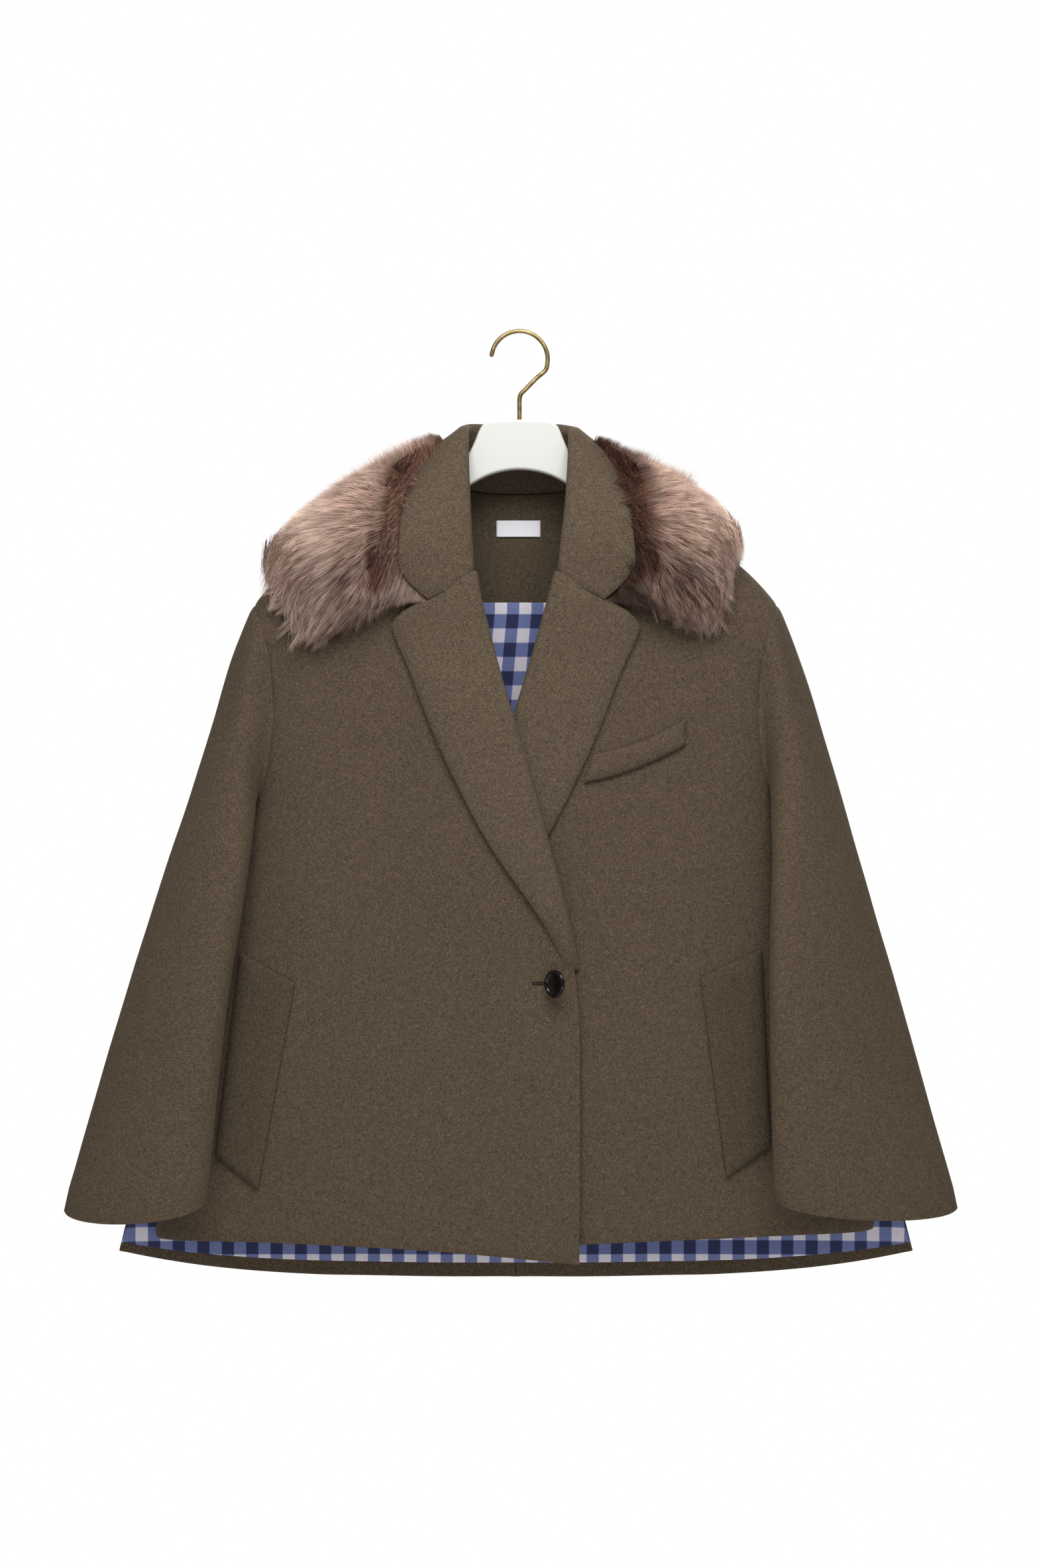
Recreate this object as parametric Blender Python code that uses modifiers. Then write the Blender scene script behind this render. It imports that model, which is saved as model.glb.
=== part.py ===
"""A short wool coat with a fur collar, hanging on its hanger.

The fronts lap wide, right over left, and close with one button. Sizes and tables are in
millimetres in the coat's own frame: x towards the wearer's left, y towards the back and
z up from the inside of the hook's crown. Points turn into metres where a mesh is made.
"""

import math
from collections import namedtuple

import bmesh
import bpy
from mathutils import Matrix, Vector

MM = 0.001
RIGHT = -1
LEFT = 1
FRONT = -1
BACK = 1

# Cloth and seams
GAP = 0.3
WOOL = 3.0
FOLDED_WOOL = 4.0
WELT = 4.0
LINING = 1.2
LABEL = 0.8
SEAM_STRIP = 4.0
COAT_X = -3.5

# Shoulders: the neck point, the shoulder point, the slope between them and the drop at its end
NECK_X = 80.0
NECK_Z = -138.0
NAPE_Z = -150.0
SHOULDER_X = 247.0
SHOULDER_SLOPE = 0.56
END_DROP = 25.0
SHOULDER_FLAT = 5.0
SHOULDER_ROUND = 70.0

# Body: how deep the front and back stand from the shoulder seam, and how wide the sides are
FRONT_DEEP = 46.0
FRONT_LEAN = 0.045
BACK_DEEP = 44.0
BACK_LEAN = 0.016
FRONT_CURVE = 2.5
BACK_CURVE = 3.2
UNDERARM_Z = -452.0
UNDERARM_X = 252.0
YOKE_X = 300.0
FLARE = 0.304
SIDE_Y_UNDERARM = 8.0
SIDE_Y_HEM = 30.0
SIDE_BACK_Z = -600.0
VENT_TOP_Z = -740.0
VENT_SWING = 31.0
LEVEL_Z = -455.0

# Hems
BACK_HEM_Z = -895.0
BACK_HEM_RISE = 27.0
LINING_SHORT = 14.0
LINING_HANGS = 3.5
LINING_NARROW = 16.0
Hem = namedtuple("Hem", "edge_z side_z bow")
FRONT_HEM = {RIGHT: Hem(-869.0, -854.0, 8.0), LEFT: Hem(-858.0, -846.0, 4.0)}

# The armhole's edge on the front and the back, from the shoulder point to the underarm
Armhole = namedtuple("Armhole", "z front_x back_x")
ARMHOLE = (
    Armhole(-256.5, 247.0, 247.0),
    Armhole(-282.0, 236.0, 240.0),
    Armhole(-305.0, 230.0, 236.0),
    Armhole(-345.0, 227.5, 234.0),
    Armhole(-390.0, 229.5, 236.0),
    Armhole(-435.0, 239.0, 243.0),
    Armhole(-452.0, 252.0, 252.0),
)

# A front's free edge, from the neck point along the neck, the roll line and down to the hem.
# x is towards the front's own side, so the lap past the middle is negative.
Edge = namedtuple("Edge", "z x")
FRONT_EDGE = (
    Edge(-138.0, 80.0),
    Edge(-160.0, 74.0),
    Edge(-195.0, 58.0),
    Edge(-233.0, 36.0),
    Edge(-316.0, 16.0),
    Edge(-427.0, -11.6),
    Edge(-509.0, -33.8),
    Edge(-590.0, -54.0),
    Edge(-640.0, -58.0),
    Edge(-900.0, -58.0),
)

# Soft folds that the flare throws into the cloth: where they start and end, and how far they stand
Fold = namedtuple("Fold", "top_z top_x hem_x width stands")
FRONT_FOLDS = (
    Fold(-560.0, 120.0, 168.0, 34.0, 5.0),
    Fold(-600.0, 205.0, 262.0, 30.0, -4.0),
)
BACK_FOLDS = (
    Fold(-330.0, 95.0, 150.0, 38.0, 7.0),
    Fold(-420.0, 30.0, 55.0, 30.0, -5.0),
    Fold(-520.0, 200.0, 270.0, 36.0, 5.0),
)

# Lapel: the roll line and the free edge, from the gorge down to where the two meet
Lapel = namedtuple("Lapel", "roll_x roll_z edge_x edge_z")
LAPEL = (
    Lapel(35.8, -233.6, 104.0, -269.0),
    Lapel(34.5, -239.0, 113.0, -277.0),
    Lapel(31.0, -254.0, 112.0, -288.0),
    Lapel(16.0, -316.0, 95.0, -323.0),
    Lapel(2.6, -370.0, 77.0, -373.0),
    Lapel(-11.6, -427.0, 53.0, -425.0),
    Lapel(-22.7, -469.0, 31.0, -469.0),
    Lapel(-33.8, -509.0, 5.0, -509.0),
    Lapel(-47.0, -559.0, -30.0, -557.0),
    Lapel(-54.5, -597.0, -43.0, -597.0),
)
LAPEL_ROLL = 2.0
LAPEL_CLEAR = 1.6
LEFT_LAPEL_SHARE = 0.80
LAP_STARTS_X = 125.0
LAP_FULL_X = 55.0
LAP_LIFT = 5.2
LAPEL_LIFT = 9.5

# Collar, from the centre back to the gorge: the neck seam, the fold and the free edge
Collar = namedtuple("Collar", "seam_x seam_y seam_z fold_x fold_y fold_z edge_x edge_y edge_z")
COLLAR = (
    Collar(0.0, 39.0, -148.5, 0.0, 34.0, -86.0, 0.0, 70.0, -164.0),
    Collar(38.0, 33.5, -146.0, 33.0, 28.0, -86.0, 60.0, 62.0, -158.0),
    Collar(66.0, 17.0, -139.0, 48.0, 10.0, -86.5, 95.0, 42.0, -141.0),
    Collar(74.5, -2.0, -136.0, 47.0, -12.0, -92.0, 99.0, 4.0, -128.0),
    Collar(68.5, -31.0, -159.0, 45.5, -28.0, -127.0, 106.0, -42.0, -155.0),
    Collar(53.0, -42.0, -195.0, 41.5, -45.0, -178.0, 109.5, -65.0, -200.0),
    Collar(42.5, -48.5, -212.0, 38.5, -52.0, -206.0, 110.5, -67.0, -226.0),
    Collar(43.5, -53.2, -229.0, 35.8, -57.0, -231.0, 83.0, -65.0, -252.0),
)
COLLAR_ROLL = 4.5
GORGE_ROLL = 3.2
COLLAR_BOW = 3.0

# Fur collar on the shoulder, from its front end round to the centre back. s follows the body from
# the shoulder seam, to 1 where the chest turns upright, and is negative behind.
Fur = namedtuple("Fur", "inner_x inner_s outer_x outer_s under full thick")
FUR = (
    Fur(66.0, 1.02, 94.0, 1.33, 0.95, 1.10, 30.0),
    Fur(73.0, 0.90, 140.0, 1.35, 0.60, 0.72, 40.0),
    Fur(82.0, 0.62, 190.0, 1.27, 0.34, 0.48, 43.0),
    Fur(88.0, 0.30, 214.0, 0.90, 0.22, 0.32, 44.0),
    Fur(90.0, 0.00, 231.0, 0.15, 0.13, 0.20, 45.0),
    Fur(86.0, -0.38, 226.0, -0.55, 0.14, 0.22, 46.0),
    Fur(66.0, -0.76, 190.0, -1.25, 0.16, 0.28, 46.0),
    Fur(34.0, -0.99, 95.0, -1.78, 0.11, 0.26, 45.0),
    Fur(5.0, -1.06, 5.0, -2.25, 0.08, 0.26, 44.0),
)
FUR_COLUMNS = (0.0, 0.13, 0.19, 0.27, 0.36, 0.48, 0.60, 0.72, 0.84, 0.94, 1.0)
FUR_ROUND = 0.34
FUR_LEAN = 0.35
FUR_STANDS_UP = Vector((-0.25, 0.0, 0.97))
FUR_UNDER_COLLAR = 2.0
FUR_GAP = 4.0
FUR_EDGE = 4.0
FUR_SHORTER = {RIGHT: 0.0, LEFT: 0.15}
FUR_LOCKS = 2.0

# Sleeves, from the armhole to the cuff: the outer edge, the inner edge, half the depth, how far
# the front turns towards the body and how much lower the front hangs
Sleeve = namedtuple("Sleeve", "outer_x outer_y outer_z inner_x inner_y inner_z half_deep turn dip")
SLEEVE = {
    RIGHT: (
        Sleeve(247.0, 0.0, -256.5, 252.0, 8.0, -452.0, 36.0, 20.0, 0.0),
        Sleeve(264.0, 2.0, -298.0, 261.0, 2.0, -470.0, 42.0, 20.0, 0.0),
        Sleeve(281.0, 0.0, -352.0, 259.0, -22.0, -506.0, 42.0, 15.0, 1.0),
        Sleeve(305.0, -6.0, -430.0, 258.0, -46.0, -550.0, 40.0, 8.0, 3.0),
        Sleeve(339.0, -16.0, -535.0, 263.0, -63.0, -618.0, 38.0, 5.0, 6.0),
        Sleeve(379.0, -32.0, -668.0, 272.0, -74.0, -708.0, 37.0, 3.0, 10.0),
        Sleeve(422.0, -52.0, -821.0, 284.0, -84.0, -811.0, 37.0, 0.0, 13.0),
    ),
    LEFT: (
        Sleeve(247.0, 0.0, -256.5, 252.0, 8.0, -452.0, 36.0, 20.0, 0.0),
        Sleeve(264.0, 2.0, -300.0, 259.0, 0.0, -472.0, 44.0, 22.0, 0.0),
        Sleeve(284.0, -2.0, -360.0, 252.0, -38.0, -513.0, 43.0, 16.0, 1.0),
        Sleeve(307.0, -8.0, -440.0, 242.0, -70.0, -562.0, 40.0, 8.0, 3.0),
        Sleeve(338.0, -20.0, -548.0, 238.0, -89.0, -632.0, 37.0, 4.0, 6.0),
        Sleeve(374.0, -36.0, -680.0, 238.0, -97.0, -717.0, 35.0, 2.0, 10.0),
        Sleeve(412.0, -58.0, -818.0, 239.0, -98.0, -808.0, 35.0, 0.0, 12.0),
    ),
}
SLEEVE_RINGS = 12
SLEEVE_CAP = 4.0
SLEEVE_CAP_ENDS = 0.34
SLEEVE_SEAM = 0.25
SLEEVE_STRIP = 1.8

# Pocket welts: corners on the front in its own side's x, then how round the corners are
Welt = namedtuple("Welt", "side top_in_x top_in_z top_out_x top_out_z low_in_x low_in_z low_out_x low_out_z")
WELTS = {
    "pocket_welt_right": Welt(RIGHT, 205.0, -611.0, 257.0, -583.0, 239.0, -804.0, 280.0, -773.0),
    "pocket_welt_left": Welt(LEFT, 171.0, -605.0, 229.0, -579.0, 195.0, -792.0, 237.0, -763.0),
    "breast_welt": Welt(LEFT, 72.0, -397.5, 158.0, -364.0, 62.5, -424.5, 158.0, -389.0),
}
WELT_BOW = {"pocket_welt_right": 0.0, "pocket_welt_left": 0.0, "breast_welt": -5.0}

# Neck facing and label inside the back
FACING_BOTTOM_Z = -253.0
FACING_TOP_X = 73.0
FACING_BOTTOM_X = 96.0
LABEL_X = 2.5
LABEL_WIDE = 42.0
LABEL_TOP_Z = -174.5
LABEL_TALL = 15.5

# Button: a turned disc with a raised rim, leaning on its thread shank
BUTTON_X = 36.0
BUTTON_Z = -610.0
BUTTON_ROUND = 25.8
BUTTON_STANDS = 15.0
BUTTON_SEAT = 2.2
BUTTON_TURN = 46.0
BUTTON_BOSS = 3.4
SHANK_ROUND = 4.5

# Hanger: a flat board with a raised head, and a wire hook
HANGER_THICK = 16.0
HANGER_EDGE = 2.5
HANGER_TOP_Z = -81.9
HANGER_APEX_Z = -128.8
HANGER_END_X = 208.0
HANGER_CLEAR = 3.5
WIRE = 4.2
HOOK_ROUND = 26.6
HOOK_CENTRE_Z = -24.5
HOOK_START = -23.0
HOOK_END = 171.0

# Mesh fineness
ARMHOLE_ROWS = 8
VENT_ROWS = 3
SIDE_ROWS = 8
FRONT_COLUMNS = 9
BACK_COLUMNS_X = (0.0, 4.0, 30.0, 55.0, 72.0, 80.0, 112.0, 150.0, 188.0, 218.0, 243.0)


def smooth(t):
    """An even step from 0 to 1."""
    t = min(max(t, 0.0), 1.0)
    return t * t * (3.0 - 2.0 * t)


def mix(a, b, t):
    """The value that lies t of the way from a to b."""
    return a + (b - a) * t


def hermite(left, right, slope_left, slope_right, width, t):
    """A cubic from left to right over a width, with the given slopes at its ends."""
    rise = 3.0 * t * t - 2.0 * t * t * t
    start = t * (1.0 - t) ** 2 * width * slope_left
    end = t * t * (t - 1.0) * width * slope_right
    return mix(left, right, rise) + start + end


def at_height(table, z):
    """A table's row at height z, on a smooth curve through rows that run from high to low."""
    z = min(max(z, table[-1].z), table[0].z)
    last = len(table) - 1
    i = next(k for k in range(last) if z >= table[k + 1].z)
    here, there = table[i], table[i + 1]
    before, after = table[max(i - 1, 0)], table[min(i + 2, last)]
    width = there.z - here.z
    t = (z - here.z) / width
    values = [z]
    for column in range(1, len(here)):
        slope_here = (there[column] - before[column]) / (there.z - before.z)
        slope_there = (after[column] - here[column]) / (after.z - here.z)
        values.append(hermite(here[column], there[column], slope_here, slope_there, width, t))
    return type(here)(*values)


def at_share(table, share):
    """A table's row at a share of its length, on a smooth curve through its rows."""
    last = len(table) - 1
    place = min(max(share, 0.0), 1.0) * last
    i = min(int(place), last - 1)
    here, there = table[i], table[i + 1]
    before, after = table[max(i - 1, 0)], table[min(i + 2, last)]
    values = []
    for column in range(len(here)):
        slope_here = (there[column] - before[column]) / 2.0
        slope_there = (after[column] - here[column]) / 2.0
        values.append(hermite(here[column], there[column], slope_here, slope_there, 1.0, place - i))
    return type(here)(*values)


def srgb(code):
    """A hex colour as the linear values that a shader takes."""
    values = [int(code[i : i + 2], 16) / 255.0 for i in (1, 3, 5)]
    linear = [v / 12.92 if v <= 0.04045 else ((v + 0.055) / 1.055) ** 2.4 for v in values]
    return (*linear, 1.0)


def finish(name, colour, roughness, metallic=0.0):
    """A plain material of one colour."""
    material = bpy.data.materials.new(name)
    material.use_nodes = True
    shader = material.node_tree.nodes["Principled BSDF"]
    shader.inputs["Base Color"].default_value = srgb(colour)
    shader.inputs["Roughness"].default_value = roughness
    shader.inputs["Metallic"].default_value = metallic
    return material


def metres(point):
    """A point of the coat's frame in the scene."""
    return Vector((point[0] + COAT_X, point[1], point[2])) * MM


def add_part(name, data, material):
    """A named sub-part in the object's collection."""
    part = bpy.data.objects.new(name, data)
    data.materials.append(material)
    coat.objects.link(part)
    return part


def points_grid(grid):
    """A mesh of faces between rows of points."""
    bm = bmesh.new()
    columns = len(grid[0])
    bmesh.ops.create_grid(bm, x_segments=columns - 1, y_segments=len(grid) - 1, size=0.5)
    bm.verts.ensure_lookup_table()
    for row, line in enumerate(grid):
        for column, point in enumerate(line):
            bm.verts[row * columns + column].co = metres(point)
    return bm


def cloth(name, grid, wall, material, flip=False, offset=-1.0):
    """A sheet through rows of points, with its thickness laid inwards from them."""
    bm = points_grid(grid)
    if flip:
        bmesh.ops.reverse_faces(bm, faces=bm.faces)
    mesh = bpy.data.meshes.new(name)
    bm.to_mesh(mesh)
    bm.free()
    mesh.shade_smooth()
    part = add_part(name, mesh, material)
    thickness = part.modifiers.new("Thickness", "SOLIDIFY")
    thickness.thickness = wall * MM
    thickness.offset = offset
    return part


def shoulder_z(x):
    """The height of the shoulder line, carried on straight over the neck."""
    x = min(abs(x), SHOULDER_X)
    share = max((x - NECK_X) / (SHOULDER_X - NECK_X), 0.0)
    return NECK_Z - SHOULDER_SLOPE * (x - NECK_X) - END_DROP * share**6


def top_z(x):
    """The top edge of the back: the neck line as far as the neck point, then the shoulder line."""
    share = abs(x) / NECK_X
    if share < 1.0:
        return mix(NAPE_Z, NECK_Z, share * share)
    return shoulder_z(x)


def half_width(z):
    """How far the side lies from the middle."""
    if z > UNDERARM_Z:
        return mix(UNDERARM_X, YOKE_X, smooth((z - UNDERARM_Z) / (NECK_Z - UNDERARM_Z)))
    return UNDERARM_X + FLARE * (UNDERARM_Z - z)


def front_half_width(z):
    """The front's side edge, which swings in below the top of the side vent."""
    opened = smooth((VENT_TOP_Z - z) / (VENT_TOP_Z - FRONT_HEM[RIGHT].side_z))
    return half_width(z) - VENT_SWING * opened


def side_y(z):
    """How far back the side seam lies."""
    return mix(SIDE_Y_UNDERARM, SIDE_Y_HEM, smooth((UNDERARM_Z - z) / (UNDERARM_Z - SIDE_BACK_Z)))


def fullness(drop, deep, lean):
    """How far the cloth stands from the shoulder seam at a drop below it."""
    turn = min(max(drop / SHOULDER_ROUND, 0.0), 1.0)
    round_part = (deep - SHOULDER_FLAT) * math.sqrt(1.0 - (1.0 - turn) ** 2)
    return SHOULDER_FLAT + round_part + lean * max(drop - SHOULDER_ROUND, 0.0)


def fold_stand(folds, x, z, hem_z):
    """How far the soft folds stand out at a place."""
    total = 0.0
    for fold in folds:
        down = (fold.top_z - z) / (fold.top_z - hem_z)
        if down > 0.0:
            off = (x - mix(fold.top_x, fold.hem_x, down)) / fold.width
            total += fold.stands * smooth(down) * math.exp(-off * off)
    return total


def bowl(x, wide, curve, drop):
    """The share of the full depth left at x, from 1 in the middle to 0 at the side."""
    share = min(abs(x) / wide, 1.0)
    left = (1.0 - share**curve) ** (1.0 / curve)
    return mix(1.0, left, smooth(drop / 90.0))


def front_y(x, z, wide):
    """The outside of the fronts."""
    drop = shoulder_z(x) - z
    left = bowl(x, wide, FRONT_CURVE, drop)
    stands = fullness(drop, FRONT_DEEP, FRONT_LEAN)
    stands += fold_stand(FRONT_FOLDS, x, z, FRONT_HEM[RIGHT].edge_z)
    return side_y(z) * (1.0 - left) - stands * left


def back_y(x, z):
    """The outside of the back."""
    drop = shoulder_z(x) - z
    left = bowl(x, half_width(z), BACK_CURVE, drop)
    stands = fullness(drop, BACK_DEEP, BACK_LEAN)
    stands += fold_stand(BACK_FOLDS, abs(x), z, BACK_HEM_Z)
    return side_y(z) * (1.0 - left) + stands * left


def lap_lift(x, z):
    """How far the right front rides up over the left one and over its lapel."""
    lapped = smooth((LAP_STARTS_X - x) / (LAP_STARTS_X - LAP_FULL_X))
    crossed = smooth((-285.0 - z) / 75.0)
    over_lapel = crossed * (1.0 - smooth((-525.0 - z) / 75.0))
    return lapped * (LAP_LIFT * crossed + LAPEL_LIFT * over_lapel)


def front_surface_y(side, x, z):
    """The outside of one front, with x towards its own side."""
    y = front_y(x, z, front_half_width(z))
    if side == RIGHT:
        y -= lap_lift(x, z)
    return y


def front_point(side, x, z, out=0.0):
    """A point on a front, moved out along the cloth's normal."""
    step = 1.0
    y = front_surface_y(side, x, z)
    lean_x = (front_surface_y(side, x + step, z) - front_surface_y(side, x - step, z)) / (2.0 * step)
    lean_z = (front_surface_y(side, x, z + step) - front_surface_y(side, x, z - step)) / (2.0 * step)
    normal = Vector((lean_x, -1.0, lean_z)).normalized()
    place = Vector((x, y, z)) + normal * out
    return Vector((side * place.x, place.y, place.z))


def back_point(x, z, out=0.0):
    """A point on the back, moved out along the cloth's normal."""
    step = 1.0
    lean_x = (back_y(x + step, z) - back_y(x - step, z)) / (2.0 * step)
    lean_z = (back_y(x, z + step) - back_y(x, z - step)) / (2.0 * step)
    normal = Vector((-lean_x, 1.0, -lean_z)).normalized()
    return Vector((x, back_y(x, z), z)) + normal * out


def row_heights(row, outer_low, inner_top, inner_low):
    """The heights of a panel's row at its inner and outer edge, closer together at the shoulder."""
    if row <= ARMHOLE_ROWS:
        share = (1.0 - math.cos(math.pi * row / ARMHOLE_ROWS)) / 2.0
        return mix(inner_top, LEVEL_Z, share), mix(shoulder_z(SHOULDER_X), UNDERARM_Z, share)
    above_vent = SIDE_ROWS - VENT_ROWS
    share = (row - ARMHOLE_ROWS) / above_vent
    if share <= 1.0:
        return mix(LEVEL_Z, VENT_TOP_Z, share), mix(UNDERARM_Z, VENT_TOP_Z, share)
    share = (row - ARMHOLE_ROWS - above_vent) / VENT_ROWS
    return mix(VENT_TOP_Z, inner_low, share), mix(VENT_TOP_Z, outer_low, share)


def front_grid(side):
    """The rows of a front, from the shoulder seam to the hem and from the free edge to the side."""
    hem = FRONT_HEM[side]
    grid = []
    for row in range(ARMHOLE_ROWS + SIDE_ROWS + 1):
        inner_z, outer_z = row_heights(row, hem.side_z, NECK_Z, hem.edge_z)
        in_armhole = row < ARMHOLE_ROWS
        inner_x = at_height(FRONT_EDGE, inner_z).x
        outer_x = at_height(ARMHOLE, outer_z).front_x if in_armhole else front_half_width(outer_z)
        level = smooth(row / ARMHOLE_ROWS)
        low = max(row - ARMHOLE_ROWS, 0) / SIDE_ROWS
        inner_drop = shoulder_z(inner_x) - inner_z
        outer_drop = shoulder_z(outer_x) - outer_z
        last_x = outer_x - SEAM_STRIP if in_armhole else outer_x
        line = []
        for column in range(FRONT_COLUMNS + 1):
            share = math.sin(math.pi / 2.0 * column / FRONT_COLUMNS)
            x = mix(inner_x, last_x, share)
            hung = shoulder_z(x) - mix(inner_drop, outer_drop, share)
            straight = mix(inner_z, outer_z, share) + hem.bow * low * low * 4.0 * share * (1.0 - share)
            z = mix(hung, straight, level)
            line.append(Vector((side * x, front_surface_y(side, x, z), z)))
        if in_armhole:
            line.append(Vector((side * outer_x, front_surface_y(side, outer_x, outer_z), outer_z)))
        else:
            gap = WOOL if row == ARMHOLE_ROWS else GAP / 2.0
            line[-1].y = side_y(outer_z) - gap - SEAM_STRIP
            line.append(Vector((side * outer_x, side_y(outer_z) - gap, outer_z)))
        grid.append(line)
    seam = [Vector((point.x, -GAP / 2.0, point.z)) for point in grid[0]]
    return [seam] + grid


def back_hem_z(x):
    """The back's hem, which rises towards the sides."""
    return BACK_HEM_Z + BACK_HEM_RISE * (abs(x) / half_width(BACK_HEM_Z)) ** 4


def back_grid(side):
    """The rows of a half back, from the neck and shoulder to the hem and from the middle to the side."""
    side_low = back_hem_z(half_width(BACK_HEM_Z))
    grid = []
    for row in range(ARMHOLE_ROWS + SIDE_ROWS + 1):
        inner_z, outer_z = row_heights(row, side_low, NAPE_Z, BACK_HEM_Z)
        in_armhole = row < ARMHOLE_ROWS
        outer_x = at_height(ARMHOLE, outer_z).back_x if in_armhole else half_width(outer_z)
        level = smooth(row / ARMHOLE_ROWS)
        low = max(row - ARMHOLE_ROWS, 0) / SIDE_ROWS
        inner_drop = NAPE_Z - inner_z
        outer_drop = shoulder_z(outer_x) - outer_z
        last_x = outer_x - SEAM_STRIP if in_armhole else outer_x
        line = []
        for top_x in BACK_COLUMNS_X:
            share = top_x / BACK_COLUMNS_X[-1]
            side_share = mix(share, math.sin(math.pi / 2.0 * share), 1.0 if row > ARMHOLE_ROWS else level)
            x = mix(GAP / 2.0, last_x, side_share)
            hung = top_z(x) - mix(inner_drop, outer_drop, side_share)
            sag = BACK_HEM_RISE * (side_share - side_share**4) * low * low
            straight = mix(inner_z, outer_z, side_share) - sag
            z = mix(hung, straight, level)
            line.append(Vector((side * x, back_y(x, z), z)))
        line[0].y = line[1].y
        if in_armhole:
            line.append(Vector((side * outer_x, back_y(outer_x, outer_z), outer_z)))
        else:
            gap = WOOL if row == ARMHOLE_ROWS else GAP / 2.0
            line[-1].y = side_y(outer_z) + gap + SEAM_STRIP
            line.append(Vector((side * outer_x, side_y(outer_z) + gap, outer_z)))
        grid.append(line)
    seam = []
    for point in grid[0]:
        x = abs(point.x)
        if x < NECK_X - GAP:
            seam.append(point.copy())
            point.z -= SEAM_STRIP
            point.y = back_y(max(x, SEAM_STRIP), point.z)
        else:
            seam.append(Vector((point.x, GAP / 2.0, point.z)))
    return [seam] + grid


def armhole_loop(side):
    """The armhole's points round from the shoulder over the front, with the way out of the cloth."""
    front = front_grid(side)[1 : ARMHOLE_ROWS + 2]
    back = back_grid(side)[1 : ARMHOLE_ROWS + 2]
    ends = [(line[-1], line[-2]) for line in front[:-1]]
    shoulder_way = Vector((SHOULDER_X, 0.0, shoulder_z(SHOULDER_X)))
    shoulder_way -= Vector((SHOULDER_X - 1.0, 0.0, shoulder_z(SHOULDER_X - 1.0)))
    top = Vector((side * SHOULDER_X, 0.0, shoulder_z(SHOULDER_X)))
    bottom = Vector((side * UNDERARM_X, side_y(UNDERARM_Z), UNDERARM_Z))
    loop = [(top, Vector((side * shoulder_way.x, 0.0, shoulder_way.z)).normalized())]
    loop += [(end, (end - before).normalized()) for end, before in ends]
    loop.append((bottom, Vector((side, 0.0, 0.0))))
    ends = [(line[-1], line[-2]) for line in back[:-1]]
    loop += [(end, (end - before).normalized()) for end, before in reversed(ends)]
    return loop


def sleeve_section(side, row, turn_round):
    """A point of a sleeve's section at an angle round from its outer edge over the front."""
    outer = Vector((row.outer_x, row.outer_y, row.outer_z))
    inner = Vector((row.inner_x, row.inner_y, row.inner_z))
    middle = (outer + inner) / 2.0
    across = (outer - inner) / 2.0
    turn = math.radians(row.turn)
    front = Vector((-math.sin(turn), -math.cos(turn), 0.0)) * row.half_deep
    front.z -= row.dip
    point = middle + across * math.cos(turn_round) + front * math.sin(turn_round)
    return Vector((side * point.x, point.y, point.z))


def sleeve_grid(side):
    """The rings of a sleeve: the armhole's edge, the sleeve cap, then sections down to the cuff."""
    loop = armhole_loop(side)
    angles = [2.0 * math.pi * i / len(loop) for i in range(len(loop))]
    table = SLEEVE[side]
    first = [sleeve_section(side, table[0], angle) for angle in angles]
    seam = [point + way * 1.0 for point, way in loop]
    cap = [point + way * SLEEVE_CAP for point, way in loop]
    rings = [seam, cap]
    for ring in range(1, SLEEVE_RINGS + 1):
        share = (ring / SLEEVE_RINGS) ** 1.15
        row = at_share(table, share)
        fade = 1.0 - smooth(share / SLEEVE_CAP_ENDS)
        line = []
        for i, angle in enumerate(angles):
            fitted = cap[i] - first[i]
            line.append(sleeve_section(side, row, angle) + fitted * fade)
        rings.append(line)
    return rings


def sleeve_half_grid(side, way):
    """A front or back half of a sleeve, with a flat strip along its outer and its underarm seam."""
    grid = []
    for ring in sleeve_grid(side):
        middle = len(ring) // 2
        line = ring[: middle + 1] if way == FRONT else [ring[0]] + ring[:middle - 1:-1]
        edge = Vector((0.0, way * SLEEVE_SEAM, 0.0))
        strip = Vector((0.0, way * (SLEEVE_SEAM + SLEEVE_STRIP), 0.0))
        ends = [line[0] + edge, line[0] + strip]
        grid.append(ends + line[1:-1] + [line[-1] + strip, line[-1] + edge])
    return grid


def collar_section(share, side):
    """A collar's section: up the stand, over the fold and down the fall."""
    row = at_share(COLLAR, share)
    before = at_share(COLLAR, share - 0.01)
    after = at_share(COLLAR, share + 0.01)
    seam = Vector((row.seam_x, row.seam_y, row.seam_z))
    fold = Vector((row.fold_x, row.fold_y, row.fold_z))
    edge = Vector((row.edge_x, row.edge_y, row.edge_z))
    along = Vector((after.fold_x, after.fold_y, after.fold_z))
    along -= Vector((before.fold_x, before.fold_y, before.fold_z))
    along.normalize()
    up = fold - (seam + edge) / 2.0
    up = (up - along * up.dot(along)).normalized()
    out = up.cross(along)
    roll = mix(COLLAR_ROLL, GORGE_ROLL, smooth(share))
    middle = fold - up * roll
    arc = []
    for step in range(5):
        turn = math.pi * step / 4.0
        arc.append(middle + (up * math.sin(turn) - out * math.cos(turn)) * roll)
    line = [seam, mix(seam, arc[0], 0.5)] + arc
    for step in range(1, 5):
        share = step / 4.0
        bow = COLLAR_BOW * math.sin(math.pi * share)
        line.append(mix(arc[-1], edge, share) + (out + up).normalized() * bow)
    return [Vector((side * point.x, point.y, point.z)) for point in line]


def collar_grid():
    """The collar's sections from the right gorge round the nape to the left gorge."""
    steps = 14
    right = [collar_section(step / steps, RIGHT) for step in range(steps, 0, -1)]
    return right + [collar_section(step / steps, LEFT) for step in range(steps + 1)]


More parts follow.
